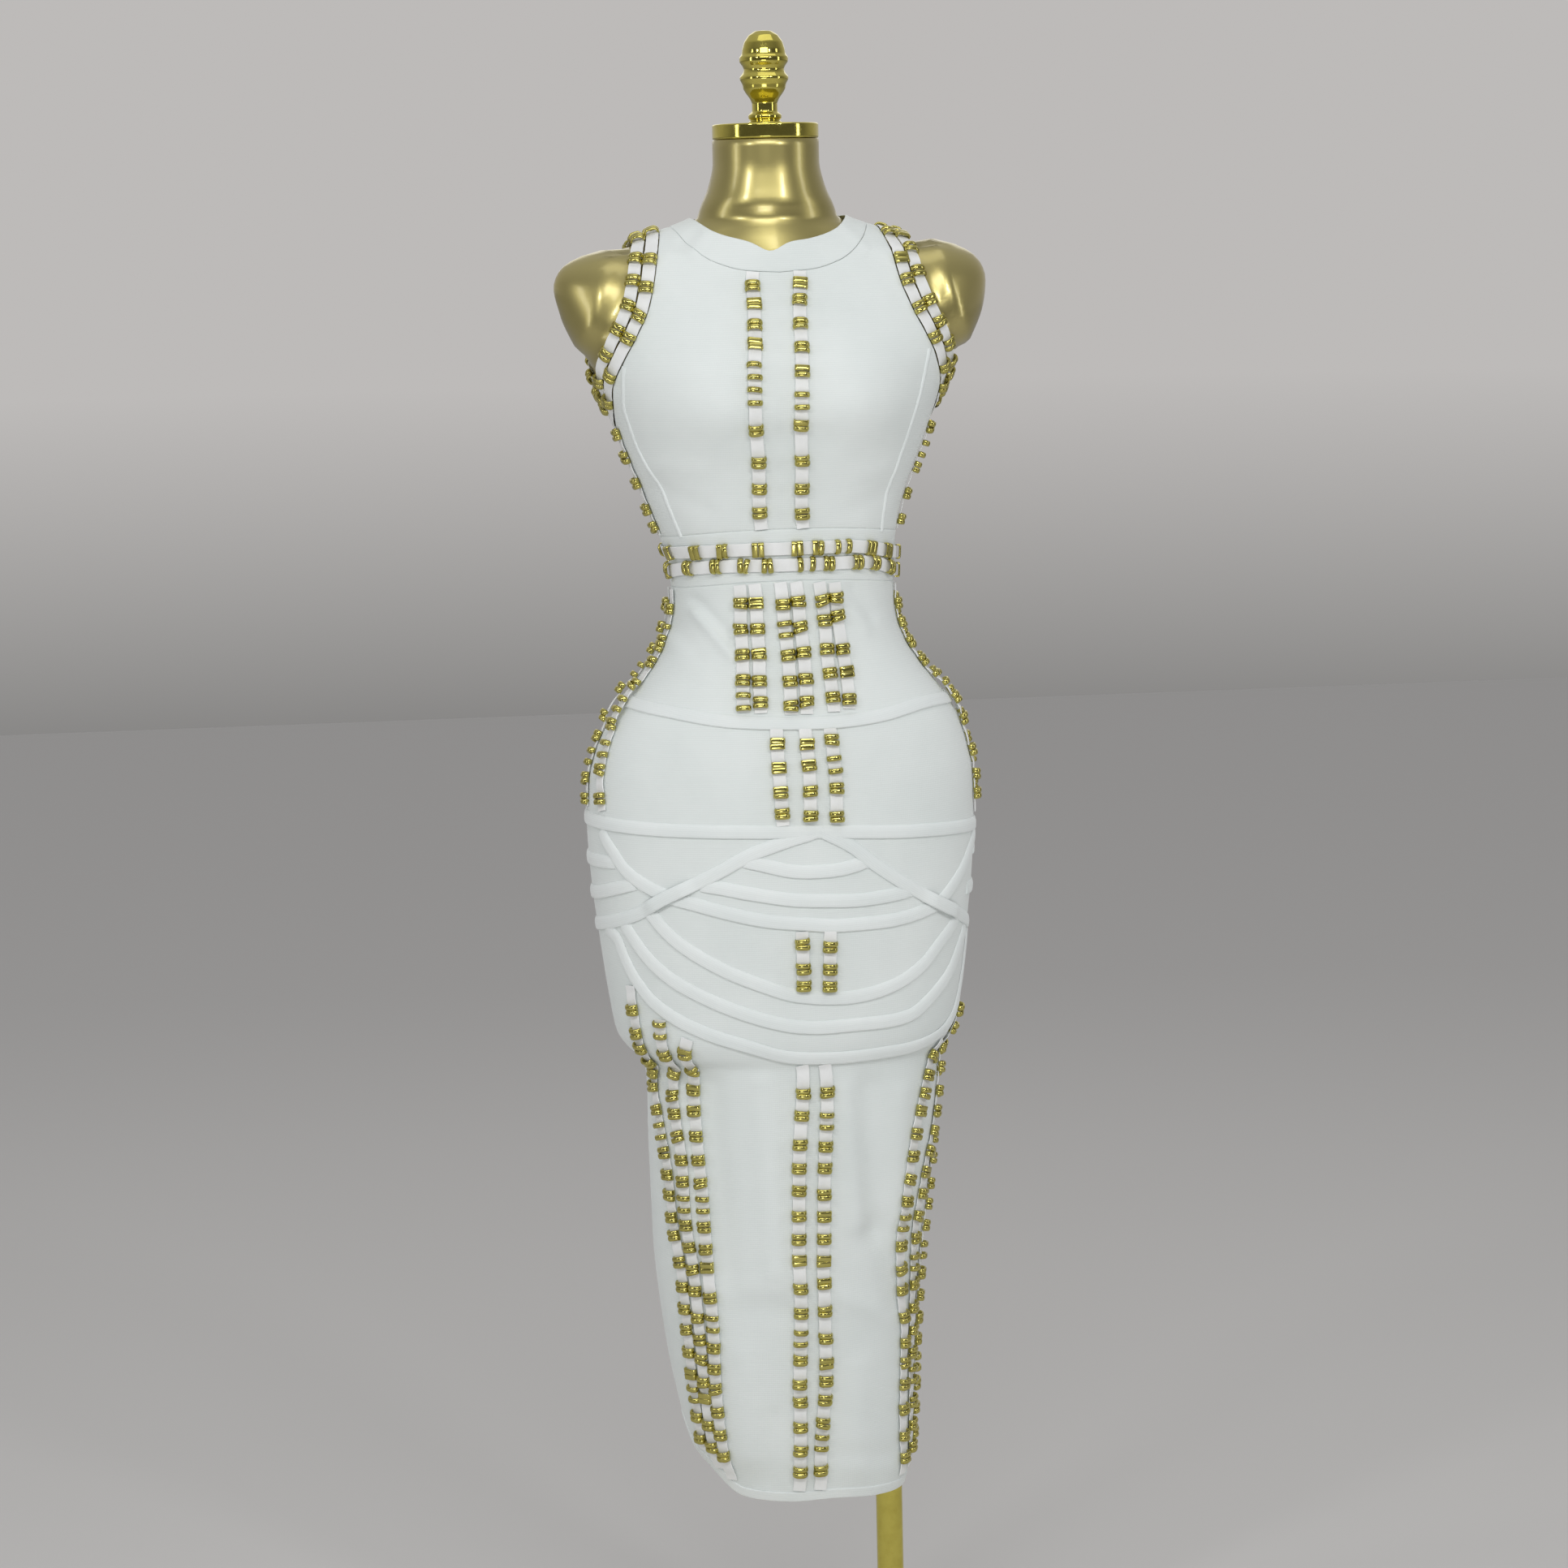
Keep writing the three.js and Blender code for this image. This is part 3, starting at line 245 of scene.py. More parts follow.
# A closed tube: rings of points, the last point of a ring joined to its first, ends filled.
def tubeQuads(rings, around, start=0):
    a = np.arange(rings - 1)[:, None] * around
    i = np.arange(around)
    j = (i + 1) % around
    wall = np.stack([a + i, a + j, a + j + around, a + i + around], -1).reshape(-1, 4)
    k = np.arange(around // 2 - 1)
    end = np.stack([k, k + 1, around - 2 - k, around - 1 - k], -1)
    last = (rings - 1) * around
    return start + np.concatenate([wall, end[:, ::-1], end + last])


# Materials
def nodeTree(name):
    look = bpy.data.materials.new(name)
    look.use_nodes = True
    tree = look.node_tree
    return look, tree, tree.nodes["Principled BSDF"]


def addNode(tree, kind, inputs=None, **settings):
    node = tree.nodes.new(kind)
    for key, value in settings.items():
        setattr(node, key, value)
    for key, value in (inputs or {}).items():
        if hasattr(value, "links"):
            tree.links.new(value, node.inputs[key])
        else:
            node.inputs[key].default_value = value
    return node


def mapped(tree, source, scale, rotation=(0, 0, 0)):
    coordinates = addNode(tree, "ShaderNodeTexCoord")
    return addNode(
        tree, "ShaderNodeMapping",
        {"Vector": coordinates.outputs[source], "Scale": scale, "Rotation": rotation},
    ).outputs["Vector"]


def wave(tree, vector, scale, direction, distortion=0.0, detail=0.0):
    return addNode(
        tree, "ShaderNodeTexWave",
        {"Vector": vector, "Scale": scale, "Distortion": distortion, "Detail": detail, "Detail Scale": 2.0},
        wave_type="BANDS", bands_direction=direction, wave_profile="SIN",
    ).outputs["Fac"]


def noise(tree, vector, scale, detail=4.0, roughness=0.55):
    return addNode(
        tree, "ShaderNodeTexNoise",
        {"Vector": vector, "Scale": scale, "Detail": detail, "Roughness": roughness},
    ).outputs["Fac"]


def mixColors(tree, factor, first, second):
    node = addNode(tree, "ShaderNodeMix", data_type="RGBA")
    tree.links.new(factor, node.inputs["Factor"])
    node.inputs["A"].default_value = (*first, 1)
    node.inputs["B"].default_value = (*second, 1)
    return node.outputs["Result"]


def bump(tree, height, distance, strength, normal=None):
    inputs = {"Height": height, "Distance": distance, "Strength": strength}
    if normal is not None:
        inputs["Normal"] = normal
    return addNode(tree, "ShaderNodeBump", inputs).outputs["Normal"]


def rangeOf(tree, value, low, high, newLow, newHigh):
    return addNode(
        tree, "ShaderNodeMapRange",
        {"Value": value, "From Min": low, "From Max": high, "To Min": newLow, "To Max": newHigh},
    ).outputs["Result"]


# Rib knit: fine courses a rib apart, broken by the stitches' columns and a soft mottling, with painted shade darkening
# the troughs between the ribs.
knitValues = {
    "light": (0.80, 0.845, 0.83), "shade": (0.75, 0.80, 0.785), "rib": 1.9, "stitch": 1.3,
    "ribDepth": 0.10, "ribTroughShade": 0.16, "roughness": 0.8, "sheen": 0.3,
}


def makeKnit(name, v, source, ribAxis, stitchAxis):
    look, tree, shader = nodeTree(name)
    vector = mapped(tree, source, (1, 1, 1))
    perWave = 2 * math.pi / 20
    ribs = wave(tree, vector, perWave / (v["rib"] * mm), ribAxis, 1.2, 2)
    stitches = wave(tree, vector, perWave / (v["stitch"] * mm), stitchAxis, 2.0, 2)
    soft = noise(tree, vector, 9.0, 3.0)
    fine = noise(tree, vector, 900.0, 2.0)
    tone = mixColors(tree, rangeOf(tree, soft, 0.35, 0.65, 0, 1), v["light"], v["shade"])
    # Painted shade: the colour is darkened a little in the rib troughs, where the grooves would be shaded.
    ribTroughShade = addNode(tree, "ShaderNodeMix", data_type="RGBA", blend_type="MULTIPLY")
    tree.links.new(rangeOf(tree, ribs, 0, 0.5, v["ribTroughShade"], 0), ribTroughShade.inputs["Factor"])
    tree.links.new(tone, ribTroughShade.inputs["A"])
    ribTroughShade.inputs["B"].default_value = (0.80, 0.82, 0.82, 1)
    tree.links.new(ribTroughShade.outputs["Result"], shader.inputs["Base Color"])
    first = bump(tree, ribs, v["ribDepth"] * mm, 0.5)
    second = bump(tree, stitches, 0.06 * mm, 0.4, first)
    third = bump(tree, fine, 0.05 * mm, 0.35, second)
    tree.links.new(bump(tree, soft, 0.9 * mm, 0.25, third), shader.inputs["Normal"])
    tree.links.new(rangeOf(tree, fine, 0.3, 0.7, v["roughness"] - 0.06, v["roughness"] + 0.08),
                   shader.inputs["Roughness"])
    shader.inputs["Sheen Weight"].default_value = v["sheen"]
    shader.inputs["Sheen Roughness"].default_value = 0.45
    shader.inputs["Specular IOR Level"].default_value = 0.35
    return look


# Woven elastic: ribs across the strap, fine lines along it.
elasticValues = {"light": (0.88, 0.895, 0.89), "shade": (0.83, 0.845, 0.84), "weave": 0.9, "roughness": 0.5}


def makeElastic(name, v):
    look, tree, shader = nodeTree(name)
    vector = mapped(tree, "UV", (1, 1, 1))
    perWave = 2 * math.pi / 20
    weft = wave(tree, vector, perWave / (v["weave"] * mm), "X", 0.6, 1)
    warp = wave(tree, vector, perWave / (1.1 * mm), "Y", 0.5, 1)
    soft = noise(tree, mapped(tree, "Object", (1, 1, 1)), 60.0, 3.0)
    tone = mixColors(tree, rangeOf(tree, soft, 0.35, 0.7, 0, 1), v["light"], v["shade"])
    tree.links.new(tone, shader.inputs["Base Color"])
    first = bump(tree, weft, 0.08 * mm, 0.5)
    tree.links.new(bump(tree, warp, 0.06 * mm, 0.4, first), shader.inputs["Normal"])
    shader.inputs["Roughness"].default_value = v["roughness"]
    shader.inputs["Sheen Weight"].default_value = 0.25
    shader.inputs["Specular IOR Level"].default_value = 0.5
    return look


# Gold paint with fine flake: the tint and the gloss drift slowly over the form.
satinValues = {"tint": (0.50, 0.43, 0.165), "shade": (0.42, 0.36, 0.13), "roughness": 0.31}


def makeSatin(name, v):
    look, tree, shader = nodeTree(name)
    vector = mapped(tree, "Object", (1, 1, 1))
    broad = noise(tree, vector, 6.0, 3.0)
    flake = noise(tree, vector, 2600.0, 2.0)
    orange = noise(tree, vector, 170.0, 2.0)
    tone = mixColors(tree, rangeOf(tree, broad, 0.3, 0.7, 0, 1), v["tint"], v["shade"])
    tree.links.new(tone, shader.inputs["Base Color"])
    tree.links.new(rangeOf(tree, broad, 0.3, 0.7, v["roughness"] - 0.03, v["roughness"] + 0.04),
                   shader.inputs["Roughness"])
    first = bump(tree, flake, 0.02 * mm, 0.3)
    tree.links.new(bump(tree, orange, 0.08 * mm, 0.25, first), shader.inputs["Normal"])
    shader.inputs["Metallic"].default_value = 0.85
    shader.inputs["Coat Weight"].default_value = 0.5
    shader.inputs["Coat Roughness"].default_value = 0.12
    return look


# Plated gold: smooth, with faint fine wear that roughens it here and there.
plateValues = {"tint": (0.56, 0.50, 0.15), "worn": (0.44, 0.39, 0.11), "roughness": 0.14}


def makePlate(name, v, roughness):
    look, tree, shader = nodeTree(name)
    vector = mapped(tree, "Object", (1, 1, 1))
    broad = noise(tree, vector, 90.0, 4.0)
    fine = noise(tree, vector, 900.0, 3.0)
    tone = mixColors(tree, rangeOf(tree, broad, 0.4, 0.75, 0, 1), v["tint"], v["worn"])
    tree.links.new(tone, shader.inputs["Base Color"])
    tree.links.new(rangeOf(tree, fine, 0.35, 0.75, roughness, roughness + 0.1), shader.inputs["Roughness"])
    tree.links.new(bump(tree, broad, 0.05 * mm, 0.3), shader.inputs["Normal"])
    shader.inputs["Metallic"].default_value = 1.0
    return look


panelKnit = makeKnit("panel_knit", knitValues, "Object", "Z", "X")
# The bands, piping and hem use a lighter copy of the panel knit: painted light for the brighter look of the raised
# bands.
bandKnitPaintedLighter = makeKnit("band_knit_painted_lighter", {**knitValues, "light": (0.83, 0.87, 0.86), "shade": (0.77, 0.82, 0.81)},
                    "UV", "Y", "X")
elastic = makeElastic("woven_elastic", elasticValues)
satinGold = makeSatin("satin_gold_paint", satinValues)
plateGold = makePlate("plated_gold", plateValues, plateValues["roughness"])
capGold = makePlate("polished_gold", {"tint": (0.66, 0.575, 0.13), "worn": (0.56, 0.48, 0.10)}, 0.07)
print("materials")


# Form and stand
formValues = {
    "clearance": 2.8, "bottom": 634, "top": 1470, "around": 144, "pitch": 5, "neckSwell": 3.4,
    "capSwell": {"left": 5, "right": 9}, "capStart": 29, "capBlend": 16,
}
moreClearance = [[1384, 2, 14, 34], [1248, 0.8, 12, 40]]
# Height and distance from the middle of the cloth's edge round the arm, in front view.
armholeEdge = [
    [1212, 142.8], [1218, 144.5], [1230, 147], [1248, 149], [1274, 141], [1292, 132],
    [1317, 119.5], [1342, 111.5], [1364, 107], [1389, 100],
]
armholeX = smoothCurve(armholeEdge)


def riseNear(s, middle, rise, flat, reach):
    t = np.clip((reach - np.abs(s - middle)) / (reach - flat), 0, 1)
    return rise * t * t * (3 - 2 * t)


def smoothStep(value):
    t = np.clip(value, 0, 1)
    return t * t * (3 - 2 * t)


# Where no cloth covers it the form swells: its neck, and its shoulder caps past the straps.
def formSwell(angle, z, v=formValues):
    x = bodyPoint(angle, z)[..., 0]
    beyond = smoothStep((np.abs(x) - armholeX(z) - v["capStart"]) / v["capBlend"])
    cap = np.where(x > 0, v["capSwell"]["right"], v["capSwell"]["left"])
    return v["neckSwell"] * smoothStep((z - 1401) / 10) + cap * beyond * (z < 1389)


# The form lies a clearance inside the cloth. Its lower edge is rounded, its top is flat.
def makeForm(v):
    heights = np.concatenate([
        v["bottom"] + 20 * (1 - np.cos(np.linspace(0, math.pi / 2, 10))),
        np.arange(v["bottom"] + 24, v["top"] - 2, v["pitch"]), [v["top"] - 0.8, v["top"]],
    ])
    angle = np.linspace(0, 2 * math.pi, v["around"], endpoint=False)
    z, a = np.meshgrid(heights, angle, indexing="ij")
    extra = np.maximum.reduce([riseNear(z, *row) for row in moreClearance])
    t = np.clip(1 - (z - v["bottom"]) / 20, 0, 1)
    rounding = 9 * (1 - np.sqrt(1 - t**2))
    points = onBody(a, z, formSwell(a, z) - v["clearance"] - extra - rounding - 0.8 * (z >= v["top"]))
    points[0, :, 2] = v["bottom"]
    points[-1, :, 2] = v["top"]
    points[-2, :, 2] = v["top"] - 0.8
    bottomDisc = points[0][None] * [0.5, 0.5, 1]
    topDisc = points[-1][None] * [0.5, 0.5, 1]
    rings = np.concatenate([bottomDisc, points, topDisc])
    quads = tubeQuads(len(rings), v["around"])
    return makeObject("form_body", rings, quads, satinGold, ["form_torso"], sharp=60)


# A turned piece: its profile of [radius, height] is rounded at each corner by cut.
def makeTurned(name, profile, around, x, z, look, nodes, cut=0.6):
    line = np.array(profile, float)
    before = np.roll(line, 1, 0)
    after = np.roll(line, -1, 0)
    rounded = []
    for k, corner in enumerate(line):
        if k in (0, len(line) - 1):
            rounded.append(corner)
            continue
        back = before[k] - corner
        on = after[k] - corner
        reach = min(cut, np.linalg.norm(back) * 0.45, np.linalg.norm(on) * 0.45)
        first = corner + back / np.linalg.norm(back) * reach
        last = corner + on / np.linalg.norm(on) * reach
        for t in (0, 0.25, 0.5, 0.75, 1):
            rounded.append((1 - t) ** 2 * first + 2 * t * (1 - t) * corner + t**2 * last)
    rounded = np.array(rounded)
    angle = np.linspace(0, 2 * math.pi, around, endpoint=False)
    radius = np.maximum(rounded[:, :1], 0.02)
    points = np.stack([x + radius * np.sin(angle), -radius * np.cos(angle),
                       z + rounded[:, 1:] + 0 * angle], -1)
    quads = tubeQuads(len(rounded), around)
    return makeObject(name, points, quads, look, nodes, sharp=50)


standValues = {"baseRadius": 170, "baseHeight": 12, "poleRadius": 12.5, "poleX": 89, "flange": 30}
capProfile = [
    [0, 0], [47.6, 0], [48.5, 1.2], [48.5, 12.6], [47.4, 13.7], [24, 13.7], [23, 13.2], [15.4, 13.2],
    [15.4, 15.2], [13.6, 16.4], [13.6, 17.2], [15.2, 18.6], [15.2, 21.6], [12.6, 23.7], [11.6, 25],
    [11.6, 32.4], [13.4, 36.6], [17, 41.4], [19.2, 45.2], [20, 49.6], [22.2, 53.6], [22.2, 55.8],
    [19.2, 59.4], [18.2, 62.4], [19.4, 65.6], [22.2, 69.4], [22.2, 73.4], [20, 76.2], [19.4, 80.6],
    [17.4, 87.4], [13.2, 93.4], [7.4, 97], [0, 97.7],
]
makeForm(formValues)
makeTurned("neck_cap_and_finial", capProfile, 96, 0, 1470.3, capGold, ["neck_cap"], 1.2)
makeTurned(
    "round_base", [[0, 0], [169.2, 0], [170, 0.8], [170, 8], [168.8, 10.8], [166, 12], [0, 12]],
    128, 0, 0, capGold, ["base_plate"], 1.2)
makeTurned(
    "stand_pole",
    [[0, 0], [30, 0], [30, 3.4], [27, 5], [16, 6.4], [13.4, 8], [12.5, 10], [12.5, 611], [14, 615],
     [28, 616.4], [30, 617.4], [30, 621.4], [0, 621.4]],
    48, standValues["poleX"], 12.3, capGold, ["pole"])
print("form and stand")

# Cloth panels
# Seams and edges in front view: distance from the middle, height.
neckSideX, shoulderSeamX, underarm = 71, 90, 1212
waistSeam = {"low": 1066, "high": 1113, "frontRise": 8, "backRise": 3}
neckEdgeFront = [[0, 1377.5], [12, 1378], [24, 1378.8], [40, 1382], [56, 1388], [71, 1399.8]]
neckDip = {"x": -7, "depth": 8.5, "width": 13}
neckEdgeBack = [[0, 1396], [40, 1397], [71, 1399.8]]
neckSeamFront = [[0, 1350], [29, 1352], [57, 1360], [71, 1369], [80, 1378], [90, 1392.6]]
neckSeamBack = [[0, 1374], [30, 1376], [60, 1382], [90, 1392.6]]
# Height, angle.
princessLeft = [[1112, 59], [1150, 61], [1175, 64.5], [1200, 68.5], [1226, 68], [1250, 61.5], [1276, 53.5]]
princessRight = [[1112, 52], [1160, 51.5], [1200, 53], [1230, 53.5], [1250, 52.5], [1286, 49]]
princessTip = {"left": 1270, "right": 1279}
# Angle, height: the seam between hip and lower skirt, and the hem.
lowerSeam = [
    [-180, 744], [-135, 748], [-90, 757], [-76, 757], [-68, 750], [-63.5, 729], [-56, 703],
    [-46, 684], [-31, 666], [-16, 653], [-4, 642], [9, 639], [29, 640], [45, 642], [60, 650],
    [71, 664], [77, 685], [81, 710], [84, 733], [90, 743], [135, 744], [180, 744],
]
hemLine = [
    [-180, 226], [-135, 228], [-118, 243], [-105, 262], [-93, 282], [-83, 260], [-67, 243],
    [-57, 229], [-48, 220], [-34, 217], [-14, 216], [6, 217.5], [38, 214], [60, 213], [80, 214],
    [92, 217], [130, 225], [180, 226],
]
clothValues = {"cell": 3.7, "roll": 1.7, "inner": 0.15, "edge": 0.45}
seamHeight = smoothCurve(lowerSeam)
hemHeight = smoothCurve(hemLine)


# Even steps with three closer ones at each end, where the cloth's edge rolls down.
def edgeSteps(length, v=clothValues):
    roll = v["roll"] / length
    close = np.array([0, 0.12, 0.4, 1]) * roll
    count = max(2, round((length - 2 * v["roll"]) / v["cell"]))
    middle = np.linspace(roll, 1 - roll, count + 1)
    return np.concatenate([close[:-1], middle, 1 - close[:-1][::-1]])


# A cloth shell over a grid. Its lift is the wall's, and over the last roll it falls toward
# the edge as a quarter circle: lift = edge + (wall - edge) * sqrt(1 - (1 - d / roll)^2).
def makePanel(name, size, place, nodes, v=clothValues):
    u = edgeSteps(size[0])
    w = edgeSteps(size[1])
    grid = np.meshgrid(w, u, indexing="ij")
    angle, z = place(grid[1], grid[0])
    flat = bodyPoint(angle, z)
    acrossLength = np.linalg.norm(np.diff(flat, axis=1), axis=-1).sum(1)[:, None]
    upLength = np.linalg.norm(np.diff(flat, axis=0), axis=-1).sum(0)[None]
    d = np.minimum(np.minimum(grid[1], 1 - grid[1]) * acrossLength, np.minimum(grid[0], 1 - grid[0]) * upLength)
    t = np.clip(1 - d / v["roll"], 0, 1)
    lift = v["edge"] + (clothWall - v["edge"]) * np.sqrt(1 - t**2)
    outer = onCloth(angle, z, lift)
    inner = onCloth(angle, z, np.full_like(lift, v["inner"]))
    rows, columns = angle.shape
    top = gridQuads(rows, columns)
    under = gridQuads(rows, columns, rows * columns)[:, ::-1]
    ids = np.arange(rows * columns).reshape(rows, columns)
    rim = np.concatenate([ids[0, :-1], ids[:-1, -1], ids[-1, :0:-1], ids[:0:-1, 0]])
    on = np.roll(rim, -1)
    wall = np.stack([on, rim, rim + rows * columns, on + rows * columns], -1)
    uv = np.stack([grid[1] * size[0], grid[0] * size[1]], -1).reshape(-1, 2) * mm
    return makeObject(name, np.concatenate([outer.reshape(-1, 3), inner.reshape(-1, 3)]),
                      np.concatenate([top, under, wall]), panelKnit, nodes, np.tile(uv, (2, 1)), 55)


# The waistband's edges rise toward centre front: edge + rise * cos(angle)^2.
def waistEdge(edge, angle, v=waistSeam):
    c = np.cos(angle)
    return v[edge] + np.where(c > 0, v["frontRise"], v["backRise"]) * c * c


def acrossAtAngle(degrees, z):
    values = sectionCurve(z)
    return values[..., 0] * np.sin(degrees * rad) ** (2 / values[..., 4])


# Front-view x of a bodice column: even in angle low down, even in x at the shoulder.
def bodiceX(u, edgeX, z):
    half = sectionCurve(z)[..., 0]
    t = np.clip((z - underarm) / 90, 0, 1)
    blend = t * t * (3 - 2 * t)
    byAngle = half * np.sin(u * np.arcsin(np.minimum(edgeX / half, 1)))
    return byAngle * (1 - blend) + u * edgeX * blend


# Height where a bodice column reaches the neckband's seam or the shoulder's ridge.
def bodiceTop(u, edgeAt, seamRows):
    seam = smoothCurve(seamRows)
    low = np.full_like(u, 1330.0)
    high = np.full_like(u, 1393.0)
    for _ in range(36):
        z = (low + high) / 2
        x = bodiceX(u, edgeAt(z), z)
        past = np.where(x < shoulderSeamX, z > seam(x), x >= sectionCurve(z)[..., 0])
        high = np.where(past, z, high)
        low = np.where(past, low, z)
    return low


def denserAtTop(v):
    return 1 - (1 - v) ** 1.5


def frontEdge(rows, tip):
    princess = smoothCurve(rows)
    return lambda z: np.where(z < tip, acrossAtAngle(princess(z), z), armholeX(z))


def bodiceFrontPlace(u, v):
    edges = {-1: frontEdge(princessLeft, princessTip["left"]), 1: frontEdge(princessRight, princessTip["right"])}
    across = u * 2 - 1
    angle, height = np.zeros_like(u), np.zeros_like(u)
    for side, edgeAt in edges.items():
        own = across < 0 if side < 0 else across >= 0
        part = np.abs(across)
        top = bodiceTop(part, edgeAt, neckSeamFront) - 0.4
        start = np.full_like(part, waistSeam["high"])
        bottom = waistEdge("high", angleAcross(bodiceX(part, edgeAt(start), start), start))
        z = bottom + (top - bottom) * denserAtTop(v)
        x = bodiceX(part, edgeAt(z), z)
        angle = np.where(own, angleAcross(side * x, z), angle)
        height = np.where(own, z, height)
    return angle, height


def bodiceSidePlace(side, rows, tip):
    inner = smoothCurve(rows)

    def place(u, v):
        start = inner(waistSeam["high"]) * rad
        bottom = waistEdge("high", start + (math.pi / 2 - start) * u)
        z = bottom + (tip - bottom) * v
        princess = inner(z) * rad
        outer = np.where(z <= underarm, math.pi / 2, angleAcross(armholeX(z), z))
        return side * (princess + (np.maximum(outer, princess) - princess) * u), z

    return place


def bodiceBackPlace(side):
    def edgeAt(z):
        return np.where(z <= underarm, sectionCurve(z)[..., 0], armholeX(z))

    def place(u, v):
        top = bodiceTop(u, edgeAt, neckSeamBack) - 0.4
        start = np.full_like(u, waistSeam["high"])
        bottom = waistEdge("high", math.pi - angleAcross(bodiceX(u, edgeAt(start), start), start))
        z = bottom + (top - bottom) * denserAtTop(v)
        return side * (math.pi - angleAcross(bodiceX(u, edgeAt(z), z), z)), z

    return place


def neckbandPlace(u, v):
    turn = u * 4 - 2
    behind = np.abs(turn) > 1
    part = np.where(behind, 2 - np.abs(turn), np.abs(turn))
    t = part * (2 - part)
    side = np.where(turn < 0, -1.0, 1.0)

    def rowAt(reach, front, back, dip=0.0):
        hollow = dip * np.exp(-(((side * reach * t - neckDip["x"]) / neckDip["width"]) ** 2))
        z = np.where(behind, smoothCurve(back)(reach * t), smoothCurve(front)(reach * t) - hollow)
        own = angleAcross(side * reach * t, z)
        return np.where(behind, side * math.pi - own, own), z

    seamAngle, seamZ = rowAt(shoulderSeamX, neckSeamFront, neckSeamBack)
    edgeAngle, edgeZ = rowAt(neckSideX, neckEdgeFront, neckEdgeBack, neckDip["depth"])
    return seamAngle + (edgeAngle - seamAngle) * v, seamZ + (edgeZ - seamZ) * v


def waistPlace(u, v):
    angle = (u * 2 - 1) * math.pi
    low = waistEdge("low", angle)
    return angle, low + (waistEdge("high", angle) - low) * v


def hipPlace(start, end):
    def place(u, v):
        angle = start + (end - start) * u
        bottom = seamHeight(angle / rad)
        return angle, bottom + (waistEdge("low", angle) - bottom) * v

    return place


def skirtPlace(start, end):
    def place(u, v):
        angle = start + (end - start) * u
        wrapped = (angle / rad + 180) % 360 - 180
        low = hemHeight(wrapped)
        return angle, low + (seamHeight(wrapped) - low) * v

    return place


quarter = math.pi / 2
panels = {
    "bodice_front_cloth": makePanel("bodice_front_cloth", (330, 290), bodiceFrontPlace, ["bodice_front"]),
    "bodice_side_left_cloth": makePanel(
        "bodice_side_left_cloth", (75, 155), bodiceSidePlace(-1, princessLeft, princessTip["left"]),
        ["bodice_side_left"]),
    "bodice_side_right_cloth": makePanel(
        "bodice_side_right_cloth", (85, 164), bodiceSidePlace(1, princessRight, princessTip["right"]),
        ["bodice_side_right"]),
    "bodice_back_left_cloth": makePanel(
        "bodice_back_left_cloth", (210, 280), bodiceBackPlace(-1), ["bodice_back_left"]),
    "bodice_back_right_cloth": makePanel(
        "bodice_back_right_cloth", (210, 280), bodiceBackPlace(1), ["bodice_back_right"]),
    "neckband_cloth": makePanel("neckband_cloth", (520, 30), neckbandPlace, ["neckband"]),
    "waistband_cloth": makePanel(
        "waistband_cloth", (620, 46), waistPlace, ["waistband"]),
    "hip_front_cloth": makePanel("hip_front_cloth", (440, 430), hipPlace(-quarter, quarter), ["hip_front"]),
    "hip_back_left_cloth": makePanel(
        "hip_back_left_cloth", (250, 340), hipPlace(-math.pi, -quarter), ["hip_back_left"]),
    "hip_back_right_cloth": makePanel(
        "hip_back_right_cloth", (250, 340), hipPlace(quarter, math.pi), ["hip_back_right"]),
    "skirt_front_cloth": makePanel(
        "skirt_front_cloth", (370, 500), skirtPlace(-quarter, quarter), ["skirt_front"]),
    "skirt_back_cloth": makePanel(
        "skirt_back_cloth", (370, 520), skirtPlace(quarter, 3 * quarter), ["skirt_back"]),
}
print("cloth panels")


# Routes over the body, walked by their true length.
# Points on the way come from a centripetal spline through knots of angle and height.
def splinePoints(knots, perSpan=24):
    knots = np.asarray(knots, float)
    ends = np.vstack([2 * knots[0] - knots[1], knots, 2 * knots[-1] - knots[-2]])
    found = []
    for k in range(len(knots) - 1):
        p0, p1, p2, p3 = ends[k:k + 4]
        d0, d1, d2 = (math.sqrt(max(np.linalg.norm(b - a), 1e-4)) for a, b in ((p0, p1), (p1, p2), (p2, p3)))
        m1 = ((p1 - p0) / d0 - (p2 - p0) / (d0 + d1) + (p2 - p1) / d1) * d1
        m2 = ((p2 - p1) / d1 - (p3 - p1) / (d1 + d2) + (p3 - p2) / d2) * d1
        t = np.linspace(0, 1, perSpan, endpoint=False)[:, None]
        found.append((2 * t**3 - 3 * t**2 + 1) * p1 + (t**3 - 2 * t**2 + t) * m1
                     + (3 * t**2 - 2 * t**3) * p2 + (t**3 - t**2) * m2)
    return np.vstack([*found, knots[-1:]])


def makeRoute(rows, inFrontView=False, smoothLoop=False):
    rows = np.array(rows, float)
    angle = angleAtX(rows[:, 0], rows[:, 1]) if inFrontView else rows[:, 0] * rad
    if smoothLoop:
        turn = np.linspace(rows[0, 0], rows[-1, 0], 400)
        stops = np.stack([turn * rad, smoothCurve(rows)(turn)], -1)
    else:
        stops = splinePoints(np.stack([angle * meanRadius, rows[:, 1]], -1)) / [meanRadius, 1]
    places = onBody(stops[:, 0], stops[:, 1], np.full(len(stops), 3.0))
    s = np.concatenate([[0], np.cumsum(np.linalg.norm(np.diff(places, axis=0), axis=-1))])
    return {"angle": stops[:, 0], "z": stops[:, 1], "s": s, "length": s[-1]}


def stopAt(route, s):
    return np.interp(s, route["s"], route["angle"]), np.interp(s, route["s"], route["z"])


def nearestStop(route, key, value):
    return route["s"][np.argmin(np.abs(route[key] - value))]


